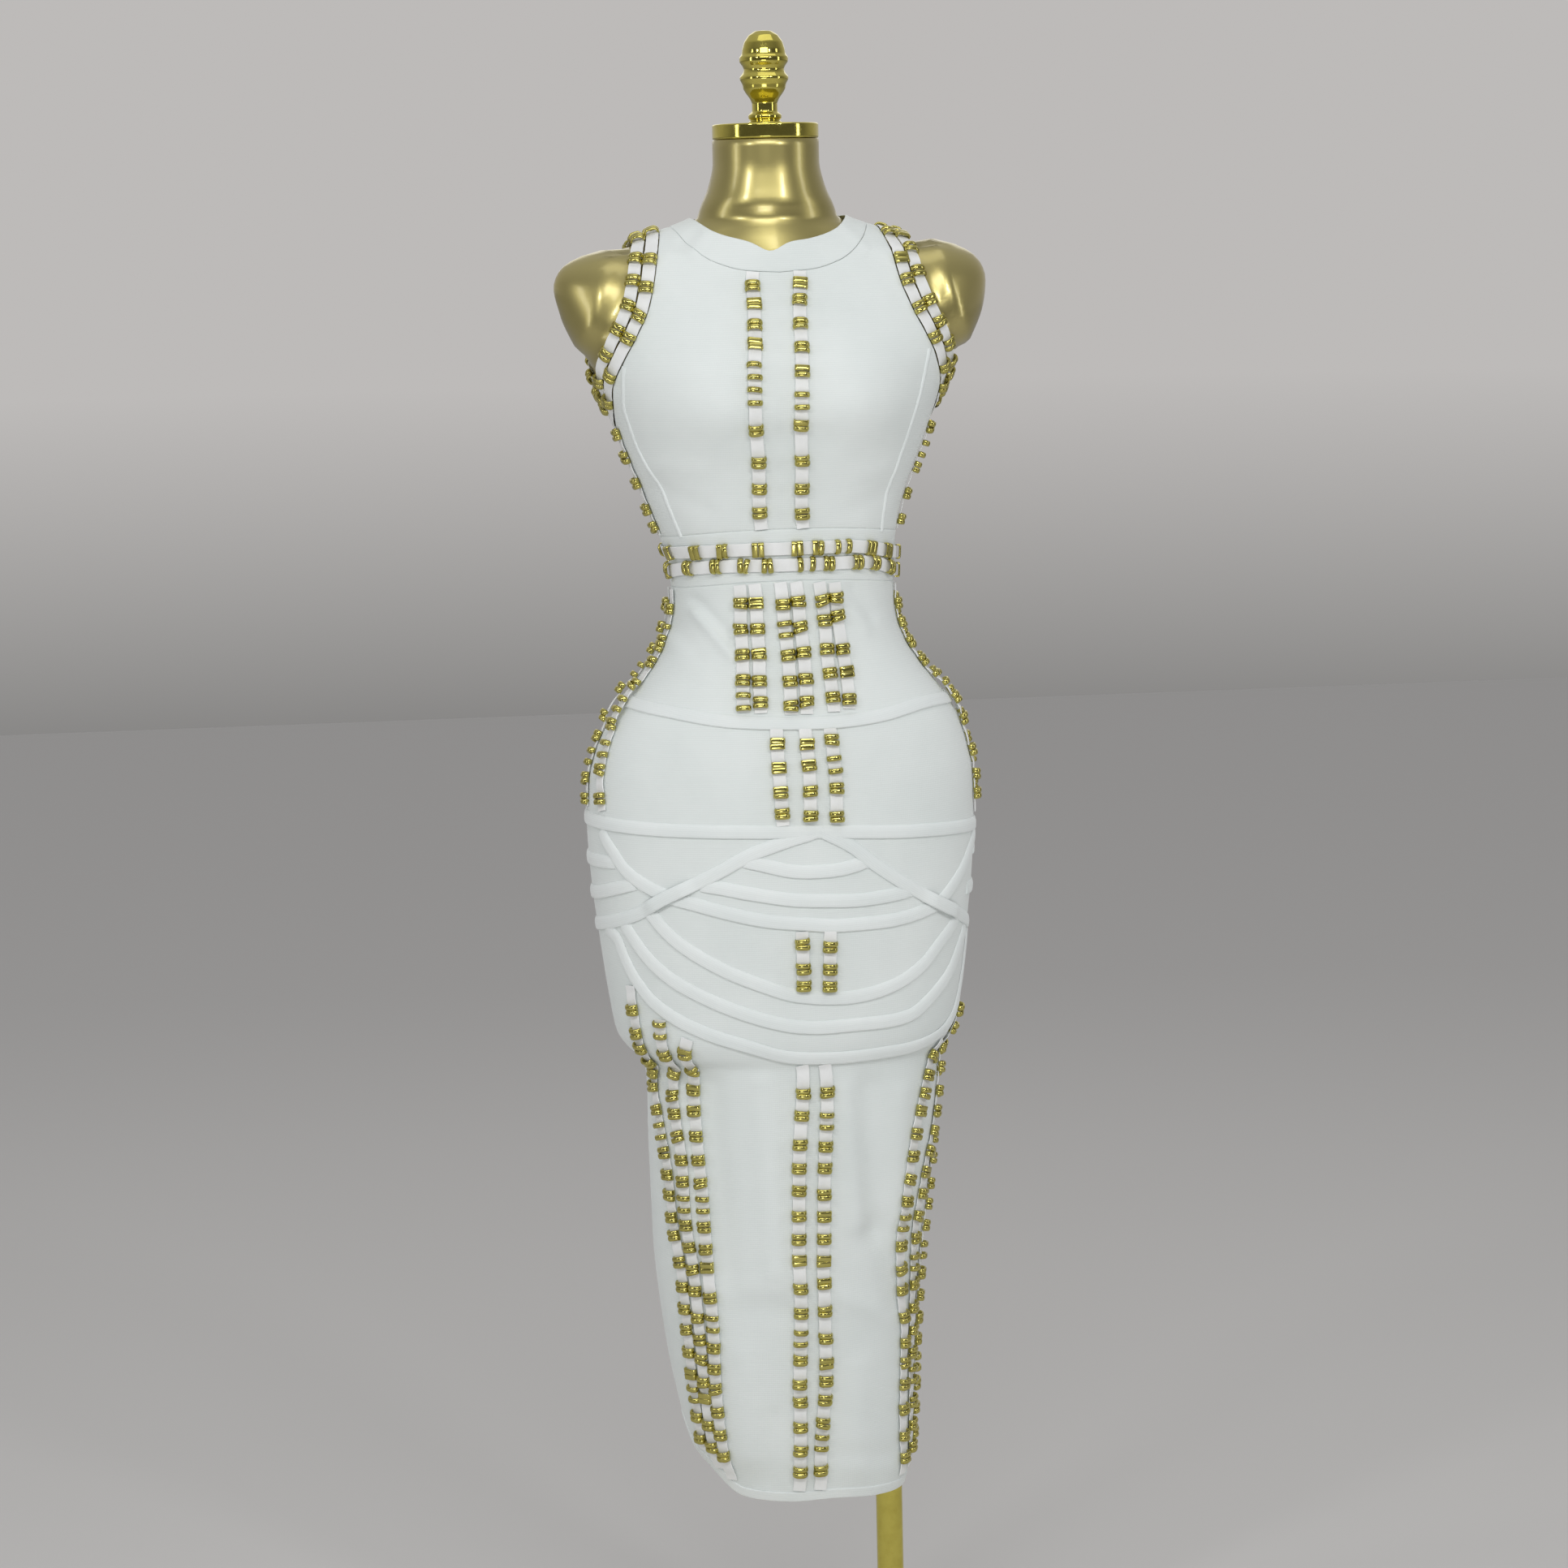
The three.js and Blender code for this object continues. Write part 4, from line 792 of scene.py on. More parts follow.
# Base point on the cloth, and the directions along, across and out, at distances s.
def routeFrame(route, s, lift):
    s = np.asarray(s, float)
    angle, z = stopAt(route, s)
    reach = 1.5
    ahead, behind = (stopAt(route, np.clip(s + d, 0, route["length"])) for d in (reach, -reach))
    base = onCloth(angle, z, np.broadcast_to(lift, s.shape))
    out = bodyNormal(angle, z)
    along = unit(onCloth(*ahead, np.full(s.shape, 2.0)) - onCloth(*behind, np.full(s.shape, 2.0)))
    across = unit(np.cross(out, along))
    return base, along, across, out


# A strip: a closed profile of [across, out] carried along a route.
def sweepStrip(route, s, profile, lift, rise=None):
    base, _, across, out = routeFrame(route, s, lift)
    if rise is not None:
        base = base + out * rise[:, None]
    profile = np.asarray(profile, float)
    points = base[:, None] + across[:, None] * profile[None, :, :1] + out[:, None] * profile[None, :, 1:]
    around = np.cumsum(np.concatenate([[0], np.linalg.norm(np.diff(profile, axis=0), axis=-1)]))
    uv = np.stack(np.broadcast_arrays(s[:, None], around[None]), -1) * mm
    return points.reshape(-1, 3), tubeQuads(len(s), len(profile)), uv.reshape(-1, 2)


# Raised bands
hipBand1 = [[-180, 958], [-90, 963], [-50, 958], [-20, 949], [8, 946], [25, 949], [50, 957], [90, 956], [180, 958]]
hipBand2 = [[-180, 850], [-90, 856], [-35, 852], [0, 849], [35, 843], [90, 839], [180, 850]]
crossBand = [
    [4, 848.5], [-6, 837], [-12, 830], [-24, 811], [-40, 791], [-56, 772], [-90, 757], [-135, 748], [-180, 744],
    [-225, 744], [-270, 743], [-309, 770], [-322, 786], [-332, 802], [-340, 818], [-346, 833], [-355, 849.5],
]
arc3 = [
    [-71, 848], [-69, 842], [-63, 828], [-58, 815], [-51, 804], [-39, 791], [-29, 784], [-19, 776], [-9, 769],
    [0, 765], [8, 762], [17, 762], [28, 763], [38, 767], [48, 774], [55, 786], [63, 801], [70, 816],
    [76, 827], [80, 838],
]
arcsInFrontView = {
    "arc_1": [[-52, 824.5], [-37, 821], [-26, 818], [-4, 813], [15, 812], [36, 813], [48, 815], [63, 819]],
    "arc_2": [[-88, 802.5], [-68, 799], [-50, 795], [-34, 792], [-5, 787], [25, 785], [55, 784], [84, 786], [106, 789]],
    "arc_4": [
        [-135, 782], [-123, 764], [-107, 748], [-71, 725], [-37, 710], [-5, 699], [28, 695], [58, 696], [90, 704],
        [115, 718], [134, 737], [145, 748], [152, 757],
    ],
    "arc_5": [
        [-154, 766], [-147, 753], [-136, 736], [-119, 718], [-97, 704], [-61, 687], [-26, 675], [6, 669], [50, 669],
        [88, 670], [106, 674], [126, 688], [145, 708], [157, 732], [163, 745],
    ],
}
sideBands = {
    "side_band_1": [[-63, 820], [-80, 819], [-120, 817], [-180, 815], [-240, 815], [-278, 815]],
    "side_band_2": [[-53, 802], [-64, 796], [-80, 789], [-120, 783], [-180, 781], [-240, 781], [-290, 781]],
}
bandValues = {"width": 12.4, "rise": 2.3, "points": 17, "pitch": 3.2, "lower": 5.0, "upper": 1.7, "tuck": 1.0}
crossingRise = [3.6, 14, 30]


# Top: rise * (1 - |w|^p)^(1 / p). It slopes up softly from the band's upper edge, where p is
# small, and drops steeply at its lower one, where the seam is.
def bandProfile(v, upward):
    w = -np.cos(np.linspace(0, math.pi, v["points"]))
    power = np.where(w * upward < 0, v["lower"], v["upper"])
    top = v["rise"] * (1 - np.abs(w) ** power) ** (1 / power)
    upper = np.stack([w * v["width"] / 2, 0.05 + top], -1)
    under = np.stack([w[1:-1][::-1] * v["width"] / 2 * 0.98, np.full(v["points"] - 2, 0.0)], -1)
    return np.concatenate([upper, under])


def makeBand(name, rows, inFrontView=False, smoothLoop=False, crossings=(), v=bandValues):
    route = makeRoute(rows, inFrontView, smoothLoop)
    s = np.linspace(0, route["length"], max(4, round(route["length"] / v["pitch"])) + 1)
    rise = np.zeros_like(s)
    for angle in crossings:
        rise = np.maximum(rise, riseNear(s, nearestStop(route, "angle", angle * rad), *crossingRise))
    if abs(route["angle"][-1] - route["angle"][0]) < 6.2:
        rise = rise - v["tuck"] * (1 - smoothStep(np.minimum(s, route["length"] - s) / 9))
    upward = 1 if route["angle"][-1] > route["angle"][0] else -1
    points, quads, uv = sweepStrip(route, s, bandProfile(v, upward), clothWall, rise)
    return makeObject(name + "_strip", points, quads, bandKnitPaintedLighter, [name], uv, 60)


bandPieces = {
    "hip_band_1": makeBand("hip_band_1", hipBand1),
    "hip_band_2": makeBand("hip_band_2", hipBand2, smoothLoop=True),
    "cross_band": makeBand("cross_band", crossBand, crossings=(-40, -310)),
    "arc_3": makeBand("arc_3", arc3),
    "arc_6": makeBand("arc_6", [row for row in lowerSeam if -76 <= row[0] <= 90]),
}
for bandName, bandRows in arcsInFrontView.items():
    bandPieces[bandName] = makeBand(bandName, bandRows, inFrontView=True)
for bandName, bandRows in sideBands.items():
    bandPieces[bandName] = makeBand(bandName, bandRows)
print("bands")


# Raised piping over the princess seams, from the waistband up to the armhole.
def makePiping(name, side, rows, tip, node):
    angles = smoothCurve(rows)
    z = np.linspace(waistSeam["high"] + 1, tip, 60)
    route = makeRoute(np.stack([side * angles(z), z], -1))
    s = np.arange(0, route["length"], 2.5)
    turn = np.linspace(0, 2 * math.pi, 8, endpoint=False)
    profile = np.stack([2.4 * np.cos(turn), 1.3 * np.sin(turn)], -1)
    points, quads, uv = sweepStrip(route, s, profile, clothWall - 0.1)
    return makeObject(name, points, quads, bandKnitPaintedLighter, [node], uv, 60)


pipingLeft = makePiping("princess_piping_left", -1, princessLeft, princessTip["left"], "bodice_side_left")
pipingRight = makePiping("princess_piping_right", 1, princessRight, princessTip["right"], "bodice_side_right")

hemValues = {"width": 9.4, "rise": 0.75, "points": 13, "pitch": 4, "lower": 6.0, "upper": 6.0}


# The hem is turned up and stitched: a low fold of cloth runs round over the skirt's edge.
def makeHem(v):
    route = makeRoute([[angle, hemHeight(angle) + v["width"] / 2 + 0.3] for angle in range(-180, 181, 6)])
    s = np.linspace(0, route["length"], round(route["length"] / v["pitch"]) + 1)
    points, quads, uv = sweepStrip(route, s, bandProfile(v, 1), clothWall - 0.1)
    return makeObject("hem_fold", points, quads, bandKnitPaintedLighter, ["skirt_front", "skirt_back"], uv, 60)


hemFold = makeHem(hemValues)

# Straps: each pair of sliders has its height and a mark: a arched, f flat side out, h half
# flat, p pair apart, t tilted. Then the strap's route from its upper seam to its lower one.
strapsInFrontView = [
    ["bust_left", "afafppaaaa", [1337, 1321, 1301, 1285, 1262, 1240, 1212, 1183, 1159, 1137],
     [[-24, 1350], [-25, 1321], [-27, 1290], [-30, 1262], [-31, 1235], [-30, 1212], [-27, 1183], [-24, 1121.5]]],
    ["bust_right", "faaahphaaa", [1338, 1324, 1302, 1282, 1261, 1235, 1215, 1183, 1158, 1136],
     [[18, 1350], [15, 1310], [13, 1261], [11, 1215], [12, 1175], [13, 1121.5]]],
    ["waist_1_left", "aaaap", [1055, 1031, 1007, 985, 966], [[-43, 1071], [-43, 1031], [-44, 985], [-45, 957]]],
    ["waist_1_right", "fahaa", [1055, 1031, 1008, 984, 965], [[-30.4, 1072], [-29, 1031], [-29, 1000], [-30, 956]]],
    ["waist_2_left", "apaaa", [1053, 1030, 1006, 984, 962], [[-8, 1073], [-5, 1030], [-3, 1000], [-3, 954]]],
    ["waist_2_right", "ataat", [1055, 1032, 1009, 985, 965], [[6, 1073], [9, 1032], [11, 1005], [11, 954]]],
    ["waist_3_left", "taaaa", [1056, 1037, 1011, 989, 967], [[27, 1072], [31, 1037], [32, 1005], [36, 955]]],
    ["waist_3_right", "ttafa", [1058, 1041, 1010, 990, 966], [[41, 1071], [43, 1041], [47, 1005], [50, 957]]],
    ["hip_column_1", "ffha", [928, 907, 886, 867], [[-17, 943], [-16, 900], [-14, 855]]],
    ["hip_column_2", "fhaa", [927, 909, 885, 864], [[8.5, 943], [11, 905], [11, 857]]],
    ["hip_column_3", "tpaa", [930, 909, 886, 862], [[31, 943], [34.5, 905], [35, 855]]],
    ["low_hip_left", "aaa", [746, 725, 709], [[1, 758], [2, 704]]],
    ["low_hip_right", "aaa", [744, 722, 707], [[27, 757], [25, 702]]],
    ["skirt_centre_left", "aaaaaaafaapaaaaaa",
     [608, 585, 560, 536, 515, 492, 470, 451, 425, 400, 377, 354, 333, 315, 290, 268, 248],
     [[0, 634], [-3, 552], [-5, 480], [-4, 400], [-6, 320], [-6, 268], [-7, 228]]],
    ["skirt_centre_right", "apaaahafhaafaatpa",
     [607, 580, 556, 534, 512, 490, 469, 447, 426, 400, 376, 352, 333, 315, 294, 275, 248],
     [[21, 634], [20, 540], [17, 440], [18, 340], [15, 296], [12, 228]]],
]
strapsByAngle = [
    ["side_seam_left", "ataat", [1206, 1186, 1163, 1141, 1122], [[-84, 1212], [-85, 1115]]],
    ["side_seam_right", "tpaaa", [1206, 1189, 1170, 1147, 1123], [[80, 1212], [80, 1115]]],
    ["hip_side_left_front", "apaatpapta", [1046, 1023, 1009, 995, 976, 957, 941, 921, 902, 876],
     [[-84, 1064], [-81, 1000], [-78, 950], [-70, 866]]],
    ["hip_side_left_rear", "taapatapat", [1048, 1027, 1006, 985, 967, 943, 926, 908, 891, 874],
     [[-99, 1064], [-98, 1000], [-95, 950], [-88, 866]]],
    ["hip_side_right_front", "ataapatata", [1044, 1025, 1008, 990, 972, 953, 934, 907, 886, 866],
     [[78, 1064], [78, 1000], [79, 950], [80, 850]]],
    ["hip_side_right_rear", "taapataapa", [1049, 1031, 1013, 995, 973, 955, 936, 914, 891, 870],
     [[94, 1064], [94, 1000], [93, 950], [92, 850]]],
    ["skirt_left_1", "ataataapaataaaaatafpaa",
     [683, 663, 649, 636, 622, 607, 585, 566, 547, 527, 507, 487, 469, 446, 423, 402, 380, 360, 338,
      318, 296, 274],
     [[-63, 706], [-64, 650], [-70, 628], [-74, 606], [-69, 572], [-64, 535], [-61, 480], [-57, 440],
      [-57, 385], [-59, 338], [-62, 296], [-66, 262]]],
    ["skirt_left_2", "paatataapaataaatafaa",
     [667, 645, 625, 603, 585, 564, 542, 523, 502, 481, 461, 439, 419, 395, 374, 354, 333, 316, 290, 268],
     [[-49, 677], [-51, 645], [-57, 614], [-56, 580], [-53, 545], [-52, 490], [-49, 440], [-49, 385],
      [-51, 330], [-54, 290], [-58, 246]]],
    ["skirt_left_3", "hahhaatpaafapaataaa",
     [648, 630, 609, 589, 566, 544, 523, 503, 481, 459, 442, 415, 390, 367, 347, 327, 305, 282, 261],
     [[-38, 660], [-44, 630], [-46, 605], [-45, 566], [-43, 510], [-41, 440], [-41, 380], [-44, 327],
      [-47, 282], [-51, 236]]],
    ["skirt_right_1", "taahaatapataaataata",
     [627, 610, 594, 577, 557, 537, 515, 494, 473, 451, 428, 408, 381, 358, 336, 315, 291, 267, 245],
     [[66, 642], [59, 612], [54, 580], [51, 550], [49, 500], [49, 455], [53, 410], [57, 360], [57, 280],
      [60, 228]]],
    ["skirt_right_2", "taataafatapaataptaa",
     [630, 610, 589, 570, 552, 534, 515, 496, 476, 455, 432, 411, 387, 365, 343, 322, 296, 273, 250],
     [[84, 650], [80, 610], [77, 580], [73, 552], [68, 530], [64, 500], [61, 465], [63, 425], [66, 380],
      [67, 340], [69, 296], [73, 232]]],
    ["skirt_right_3", "taptaapataapataaptaa",
     [664, 648, 630, 604, 582, 562, 543, 521, 499, 480, 460, 437, 416, 394, 372, 350, 328, 306, 282, 258],
     [[82, 680], [84, 645], [92, 604], [90, 550], [85, 510], [79, 465], [77, 430], [79, 390], [82, 340],
      [85, 290], [90, 232]]],
]
waistRings = {
    "waist_ring_upper": {
        "heights": [[-180, 1101.8], [-90, 1099], [-50, 1101.5], [-15, 1103.5], [23, 1103.5], [41, 1100.5],
                    [56, 1096.5], [80, 1092.5], [95, 1092.5], [140, 1100], [180, 1101.8]],
        "angles": [-75, -50, -33, -15, 1, 10, 23, 41, 56, 80], "marks": "ffhffhpfff",
    },
    "waist_ring_lower": {
        "heights": [[-180, 1086], [-95, 1080], [-59, 1085.5], [-24, 1088.5], [31, 1088.5], [44, 1086.5],
                    [60, 1081], [80, 1076], [95, 1076], [140, 1083], [180, 1086]],
        "angles": [-84, -59, -39, -24, -12, 4, 15, 31, 44, 60, 80], "marks": "haatapaaatf",
    },
}
backRingSliders = [-145, -110, 110, 145]
# Distance from the armhole's edge, space between sliders at the back, and the heights of
# the sliders up the front, with their marks.
armholeStraps = {
    "left_inner": [6.3, 26, [1238, 1262, 1294, 1313, 1338, 1362, 1386], "aaataaa"],
    "left_outer": [19.6, 21.7, [1225, 1240, 1257, 1281, 1302, 1323, 1344, 1363, 1380], "aataataaa"],
    "right_inner": [6.3, 26, [1245, 1263, 1289, 1315, 1340, 1359, 1381], "aataafa"],
    "right_outer": [19.6, 21.7, [1228, 1241, 1256, 1266, 1283, 1303, 1321, 1347, 1367, 1379], "atahaaaaaf"],
}
strapValues = {"width": 11.8, "thick": 0.95, "lift": 1.2, "pitch": 2.6, "sink": 0.6, "bulge": 0.6}
sliderValues = {
    "length": 5.25, "width": 14.0, "arched": 7.0, "flat": 5.4, "bar": 1.15, "around": 20, "section": 10,
    "apart": 5.6, "wobble": 2.5, "tilt": 13,
}
ledgeBridge = [0.9, 8, 26]
random = np.random.default_rng(7)


# One slider: a bar's section carried round a closed loop about the strap. The loop is a
# superellipse, flat below; the arched bar dips at its middle and swells beside it.
def sliderShape(flatOut, v=sliderValues):
    t = np.linspace(0, 2 * math.pi, v["around"], endpoint=False) + math.pi / v["around"]
    power = 6.0 if flatOut else 2.15
    c, s = np.cos(t), np.sin(t)
    reach = v["width"] / 2 - v["bar"] * 0.75
    w = reach * np.sign(c) * np.abs(c) ** (2 / power)
    crown = (v["flat"] if flatOut else v["arched"]) - v["bar"]
    h = np.where(s > 0, 1.2 + (crown - 1.2) * np.abs(s) ** (2 / power), 1.2 - 1.5 * np.abs(s) ** (2 / 6.0))
    dip = 0 if flatOut else 0.3
    h = h - np.where(s > 0, dip * np.exp(-((w / 1.5) ** 2)), 0)
    ring = np.stack([w, h], -1)
    tangent = np.roll(ring, -1, 0) - np.roll(ring, 1, 0)
    outward = unit(np.stack([tangent[:, 1], -tangent[:, 0]], -1))
    turn = np.linspace(0, 2 * math.pi, v["section"], endpoint=False) + math.pi / v["section"]
    square = 0.3 if flatOut else 1.0
    along = np.sign(np.cos(turn)) * np.abs(np.cos(turn)) ** square * v["length"] / 2
    out = np.sign(np.sin(turn)) * np.abs(np.sin(turn)) ** square
    thick = np.where(s > 0, v["bar"] * (0.75 if flatOut else 1.0), 0.35)
    thick = thick * (1 + np.where((s > 0) & (not flatOut), 0.22 * np.exp(-(((np.abs(w) - 3.0) / 1.7) ** 2)), 0))
    across = ring[:, None] + outward[:, None] * out[None, :, None] * thick[:, None, None]
    points = np.concatenate([np.broadcast_to(along[None, :, None], across[..., :1].shape), across], -1)
    i = np.arange(v["around"])[:, None] * v["section"]
    k = np.arange(v["section"])
    nextI = (i + v["section"]) % (v["around"] * v["section"])
    nextK = (k + 1) % v["section"]
    quads = np.stack([i + k, i + nextK, nextI + nextK, nextI + k], -1).reshape(-1, 4)
    return points.reshape(-1, 3), quads


sliderShapes = {False: sliderShape(False), True: sliderShape(True)}


# Each pair of sliders sits at distances s: two loops side by side, each a little askew.
def sliderMeshes(route, places, marks, lift, rise, v=sliderValues):
    allPoints, allQuads, count = [], [], 0
    for n, place in enumerate(places):
        mark = marks[n % len(marks)]
        tilt = v["tilt"] * random.choice([-1, 1]) if mark == "t" else 0
        for side in (-1, 1):
            flatOut = mark == "f" or (mark == "h" and side < 0)
            step = v["apart"] if mark == "p" else v["length"] / 2 + 0.05
            yaw, lean = random.normal(0, v["wobble"], 2) * rad
            yaw += tilt * rad * (1 if side > 0 else 0.4)
            shape, quads = sliderShapes[flatOut]
            s = place + side * step
            base, along, across, out = (row[0] for row in routeFrame(route, np.array([s]), lift))
            turned = along * math.cos(yaw) + across * math.sin(yaw)
            sideways = across * math.cos(yaw) - along * math.sin(yaw)
            upright = out * math.cos(lean) + turned * math.sin(lean)
            turned = turned * math.cos(lean) - out * math.sin(lean)
            shift = random.normal(0, 0.25)
            points = (base + out * rise(np.array([s]))[0] + shape[:, :1] * turned
                      + (shape[:, 1:2] + shift) * sideways + shape[:, 2:] * upright)
            allPoints.append(points)
            allQuads.append(quads + count)
            count += len(shape)
    return allPoints, allQuads


# The ribbon: flat, with round edges. Between sliders it bows out a little, and its sewn
# ends sink to the cloth.
def ribbonMesh(route, places, lift, rise, v=strapValues):
    s = np.linspace(0, route["length"], max(6, round(route["length"] / v["pitch"])) + 1)
    gap = np.min(np.abs(s[:, None] - np.asarray(places)[None]), 1)
    bow = v["bulge"] * np.clip((gap - 5.5) / 6, 0, 1)
    half, thick = v["width"] / 2, v["thick"]
    profile = [
        [-half, thick * 0.3], [-half + 0.35, thick * 0.85], [-half * 0.5, thick], [half * 0.5, thick],
        [half - 0.35, thick * 0.85], [half, thick * 0.3], [half - 0.5, 0], [-half + 0.5, 0],
    ]
    return sweepStrip(route, s, profile, lift, bow + rise(s))


def makeStraps(name, straps):
    ribbonParts, metalPoints, metalQuads = [], [], []
    pointCount, metalCount = 0, 0
    points, quads, uvs = [], [], []
    for _, route, places, marks, lift, rise in straps:
        own, ownQuads, uv = ribbonMesh(route, places, lift, rise)
        points.append(own)
        quads.append(ownQuads + pointCount)
        uvs.append(uv)
        pointCount += len(own)
        metal, metalFaces = sliderMeshes(route, places, marks, lift, rise)
        for part, faces in zip(metal, metalFaces):
            metalPoints.append(part)
            metalQuads.append(faces + metalCount)
        metalCount += sum(len(part) for part in metal)
    nodes = [row[0] for row in straps]
    ribbonParts.append(makeObject(name + "_ribbons", np.concatenate(points), np.concatenate(quads),
                                  elastic, nodes, np.concatenate(uvs), 50))
    makeObject(name + "_sliders", np.concatenate(metalPoints), np.concatenate(metalQuads),
               plateGold, nodes, sharp=64)


def columnStrap(row, inFrontView):
    name, marks, heights, rows = row
    route = makeRoute(rows, inFrontView)
    places = [nearestStop(route, "z", height) for height in heights]
    lift = clothWall + strapValues["lift"]
    rises = [[route["length"], -strapValues["sink"], 4, 12]]
    if name.startswith("hip_side"):
        rises.append([nearestStop(route, "z", 960 if "left" in name else 957), *crossingRise])
    else:
        rises.append([0, -strapValues["sink"], 4, 12])
    if name.startswith("skirt_left") or name.startswith("skirt_right"):
        rises.append([nearestStop(route, "z", formValues["bottom"] - 6), *ledgeBridge])

    def rise(s):
        return sum(riseNear(s, *part) for part in rises)

    return [name, route, places, marks, lift, rise]


def noRise(s):
    return np.zeros_like(s)


def ringStrap(name, v):
    route = makeRoute(v["heights"], smoothLoop=True)
    places = [nearestStop(route, "angle", angle * rad) for angle in [*v["angles"], *backRingSliders]]
    marks = v["marks"] + "a" * len(backRingSliders)
    return [name, route, places, marks, clothWall + strapValues["lift"], noRise]


# The body's point nearest to a place, by ever smaller steps of angle and height.
def nearestOnBody(place, angle, z):
    gap = np.linalg.norm(place - bodyPoint(angle, z), axis=-1)
    turn, climb = np.full(len(z), 0.1), np.full(len(z), 8.0)
    for _ in range(80):
        best = gap.copy()
        bestAngle, bestZ = angle.copy(), z.copy()
        for a, h in ((1, 0), (-1, 0), (0, 1), (0, -1)):
            tryAngle, tryZ = angle + a * turn, z + h * climb
            found = np.linalg.norm(place - bodyPoint(tryAngle, tryZ), axis=-1)
            better = found < best
            best = np.where(better, found, best)
            bestAngle = np.where(better, tryAngle, bestAngle)
            bestZ = np.where(better, tryZ, bestZ)
        stuck = best >= gap
        turn, climb = np.where(stuck, turn / 1.6, turn), np.where(stuck, climb / 1.6, climb)
        gap, angle, z = best, bestAngle, bestZ
    return angle, z


def armholeStrap(name, inset, pitch, heights, marks):
    side = -1 if name.startswith("left") else 1
    low, high = armholeEdge[0][0], armholeEdge[-1][0]
    steps = np.linspace(0, 1, 26)
    z = low + (high - low) * (1 - (1 - steps) ** 2.2)
    front = angleAcross(armholeX(z), z)
    front[0] = front[-1] = math.pi / 2
    angle = np.concatenate([front, math.pi - front[1:-1][::-1], front[:1]]) * side
    height = np.concatenate([z, z[1:-1][::-1], z[:1]])
    before = np.concatenate([[len(angle) - 2], np.arange(len(angle) - 1)])
    after = np.concatenate([np.arange(1, len(angle)), [1]])
    points = bodyPoint(angle, height)
    along = unit(points[after] - points[before])
    across = unit(np.cross(bodyNormal(angle, height), along))
    moved = nearestOnBody(points - across * side * inset, angle, height)
    route = makeRoute(np.stack([moved[0] / rad, moved[1]], -1))
    route["length"] -= 1.2
    top = route["s"][np.argmax(route["z"])]
    rising = route["s"] < top
    front = [np.interp(h, route["z"][rising], route["s"][rising]) for h in heights]
    count = int((route["length"] - top) // pitch)
    back = top + (np.arange(count) + 0.6) * (route["length"] - top) / (count + 0.4)
    return ["armhole_" + name, route, [*front, *back], marks + "a" * count, 0.8 + 0.3, noRise]


families = {}
for strapRow in strapsInFrontView:
    families.setdefault(strapRow[0].rsplit("_", 1)[0].replace("waist_1", "waist").replace("waist_2", "waist")
                        .replace("waist_3", "waist"), []).append(columnStrap(strapRow, True))
for strapRow in strapsByAngle:
    family = "_".join(strapRow[0].split("_")[:2])
    families.setdefault(family, []).append(columnStrap(strapRow, False))
families["waist_rings"] = [ringStrap(name, row) for name, row in waistRings.items()]
for name, row in armholeStraps.items():
    families.setdefault("armhole_" + name.split("_")[0], []).append(armholeStrap(name, *row))
for family, strapList in families.items():
    makeStraps(family, strapList)
print("straps and sliders")

# Floor, light and world
stageValues = {
    "floor": (0.60, 0.59, 0.575), "behindCamera": (0.11, 0.11, 0.115), "backdrop": (0.51, 0.495, 0.485),
    "horizon": (0.25, 0.245, 0.24), "overhead": (0.55, 0.55, 0.56), "worldStrength": 1.0,
}


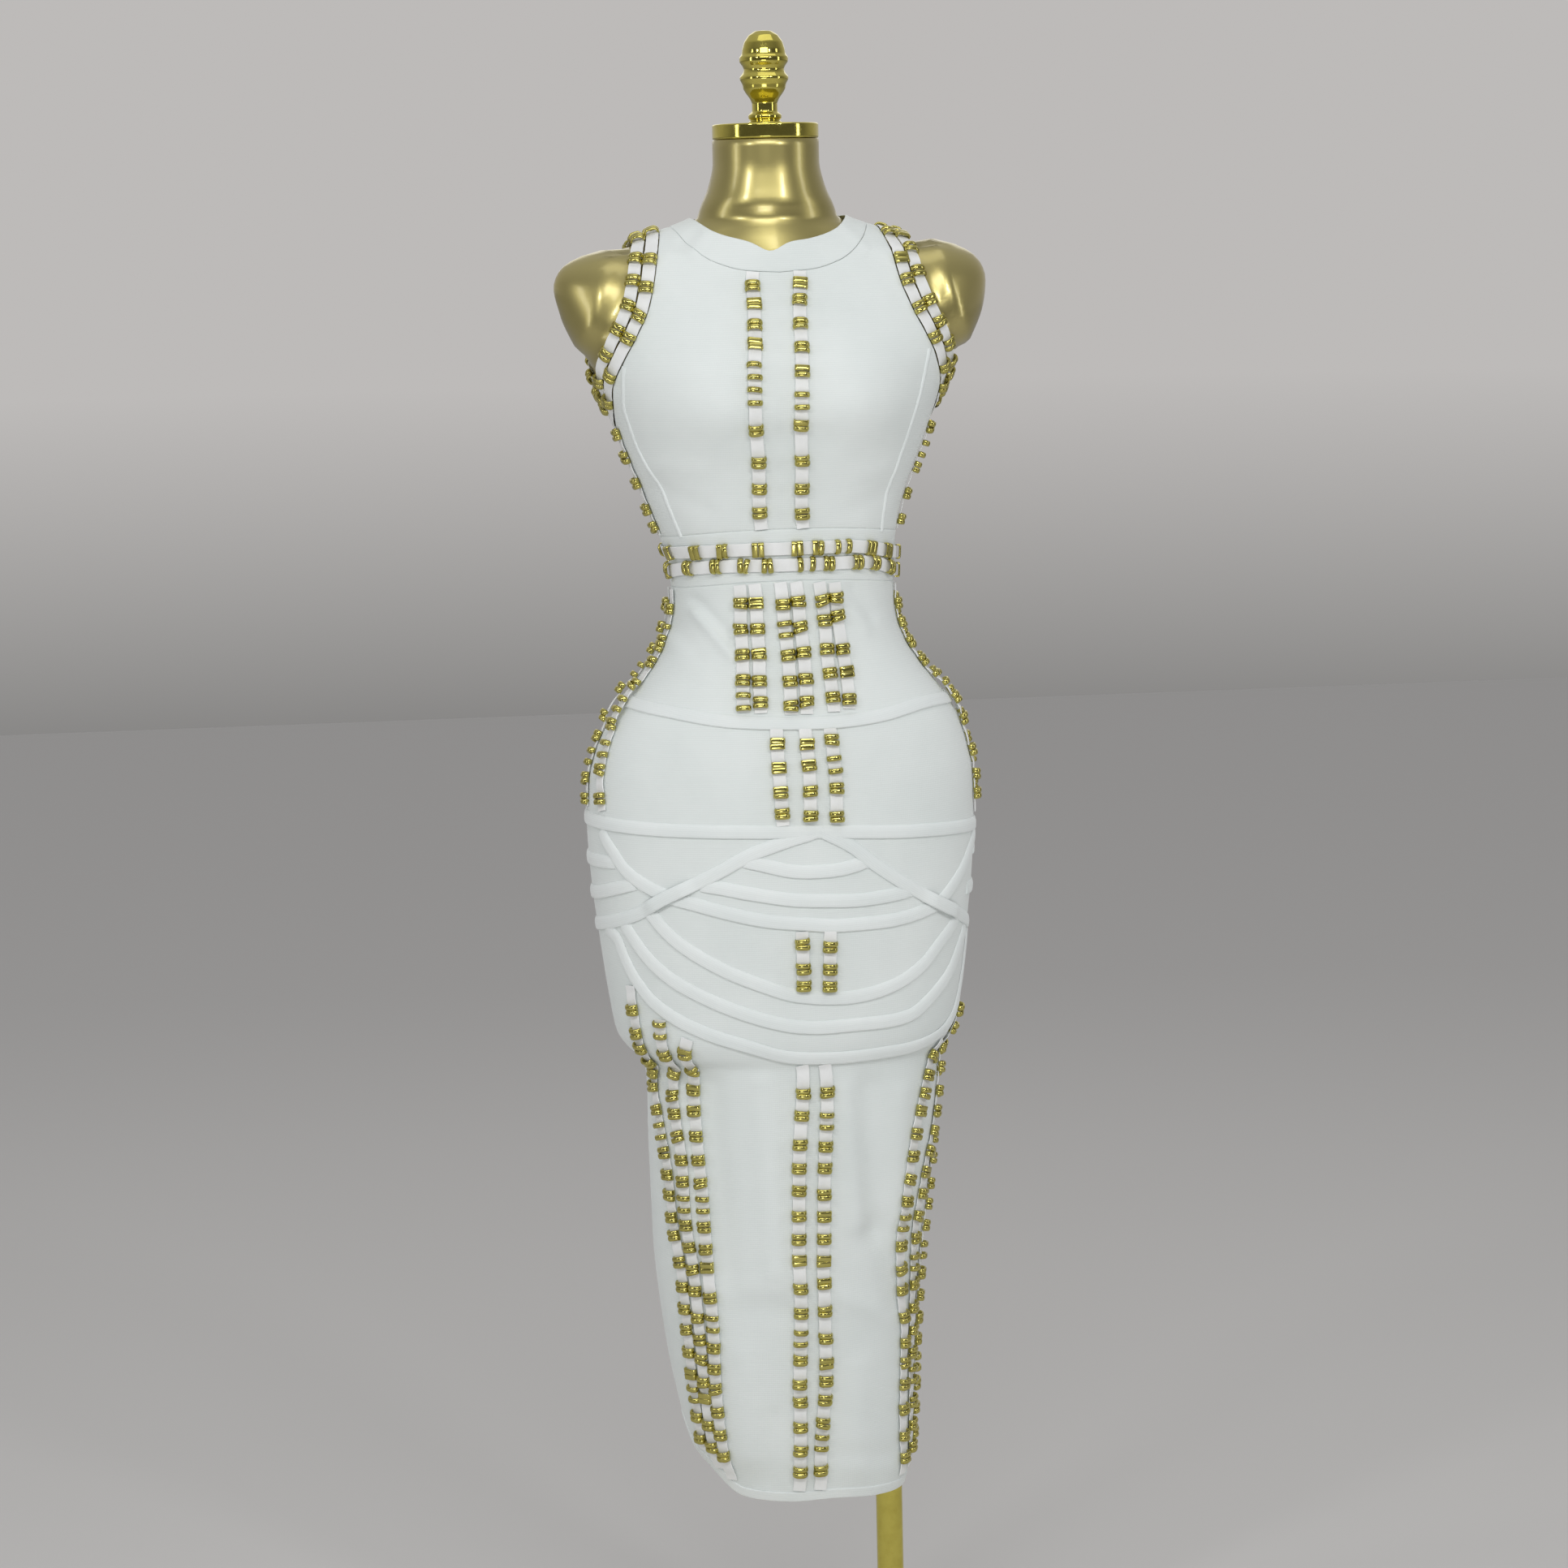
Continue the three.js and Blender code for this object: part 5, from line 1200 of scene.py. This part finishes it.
# The world is pale behind the object and dim behind the camera, so that metal has contrast.
def makeStage(v):
    mesh = bpy.data.meshes.new("floor")
    size = 9
    mesh.from_pydata([(-size, -size, 0), (size, -size, 0), (size, size, 0), (-size, size, 0)], [], [(0, 1, 2, 3)])
    floor = bpy.data.objects.new("floor", mesh)
    scene.collection.objects.link(floor)
    floor.location.z = -0.0005
    look, _, shader = nodeTree("floor_paint")
    shader.inputs["Base Color"].default_value = (*v["floor"], 1)
    shader.inputs["Roughness"].default_value = 0.9
    mesh.materials.append(look)
    world = bpy.data.worlds.new("studio")
    scene.world = world
    world.use_nodes = True
    tree = world.node_tree
    direction = addNode(tree, "ShaderNodeTexCoord").outputs["Generated"]
    parts = addNode(tree, "ShaderNodeSeparateXYZ", {"Vector": direction}).outputs
    wall = mixColors(tree, rangeOf(tree, parts["Z"], -0.105, -0.03, 0, 1), v["horizon"], v["backdrop"])
    level = addNode(tree, "ShaderNodeMix", data_type="RGBA")
    tree.links.new(rangeOf(tree, parts["Y"], -0.3, 0.75, 0, 1), level.inputs["Factor"])
    level.inputs["A"].default_value = (*v["behindCamera"], 1)
    tree.links.new(wall, level.inputs["B"])
    sky = addNode(tree, "ShaderNodeMix", data_type="RGBA")
    tree.links.new(rangeOf(tree, parts["Z"], 0.35, 0.95, 0, 1), sky.inputs["Factor"])
    tree.links.new(level.outputs["Result"], sky.inputs["A"])
    sky.inputs["B"].default_value = (*v["overhead"], 1)
    background = tree.nodes["Background"]
    tree.links.new(sky.outputs["Result"], background.inputs["Color"])
    background.inputs["Strength"].default_value = v["worldStrength"]


# Name: place in metres, size in metres, power in watts. A wide panel hangs above the front,
# two small lamps stand either side of the camera, two tall narrow ones out at the sides.
lights = {
    "key": [(-0.3, -3.1, 3.0), (2.4, 0.8), 33],
    "lamp_right": [(1.35, -3.0, 2.5), (0.35, 0.35), 13],
    "lamp_left": [(-2.15, -2.5, 2.5), (0.35, 0.35), 12],
    "low": [(-0.5, -3.6, 0.4), (1.4, 0.5), 17],
    "strip_left": [(-2.7, -0.9, 1.5), (0.3, 2.0), 8],
    "strip_right": [(2.6, -1.1, 1.5), (0.3, 2.0), 8],
    "top": [(0.2, -0.4, 3.6), (2.4, 1.2), 7],
    "back": [(0.3, 2.6, 2.4), (2.4, 1.4), 7],
}


def makeLights(rows):
    target = Vector((0, 0, 0.75))
    for name, (place, size, power) in rows.items():
        data = bpy.data.lights.new(name, "AREA")
        data.shape = "RECTANGLE"
        data.size, data.size_y = size
        data.energy = power
        light = bpy.data.objects.new(name, data)
        scene.collection.objects.link(light)
        light.location = place
        light.rotation_euler = (target - Vector(place)).to_track_quat("-Z", "Y").to_euler()


makeStage(stageValues)
makeLights(lights)
scene.view_settings.view_transform = "Standard"
print("stage and lights")
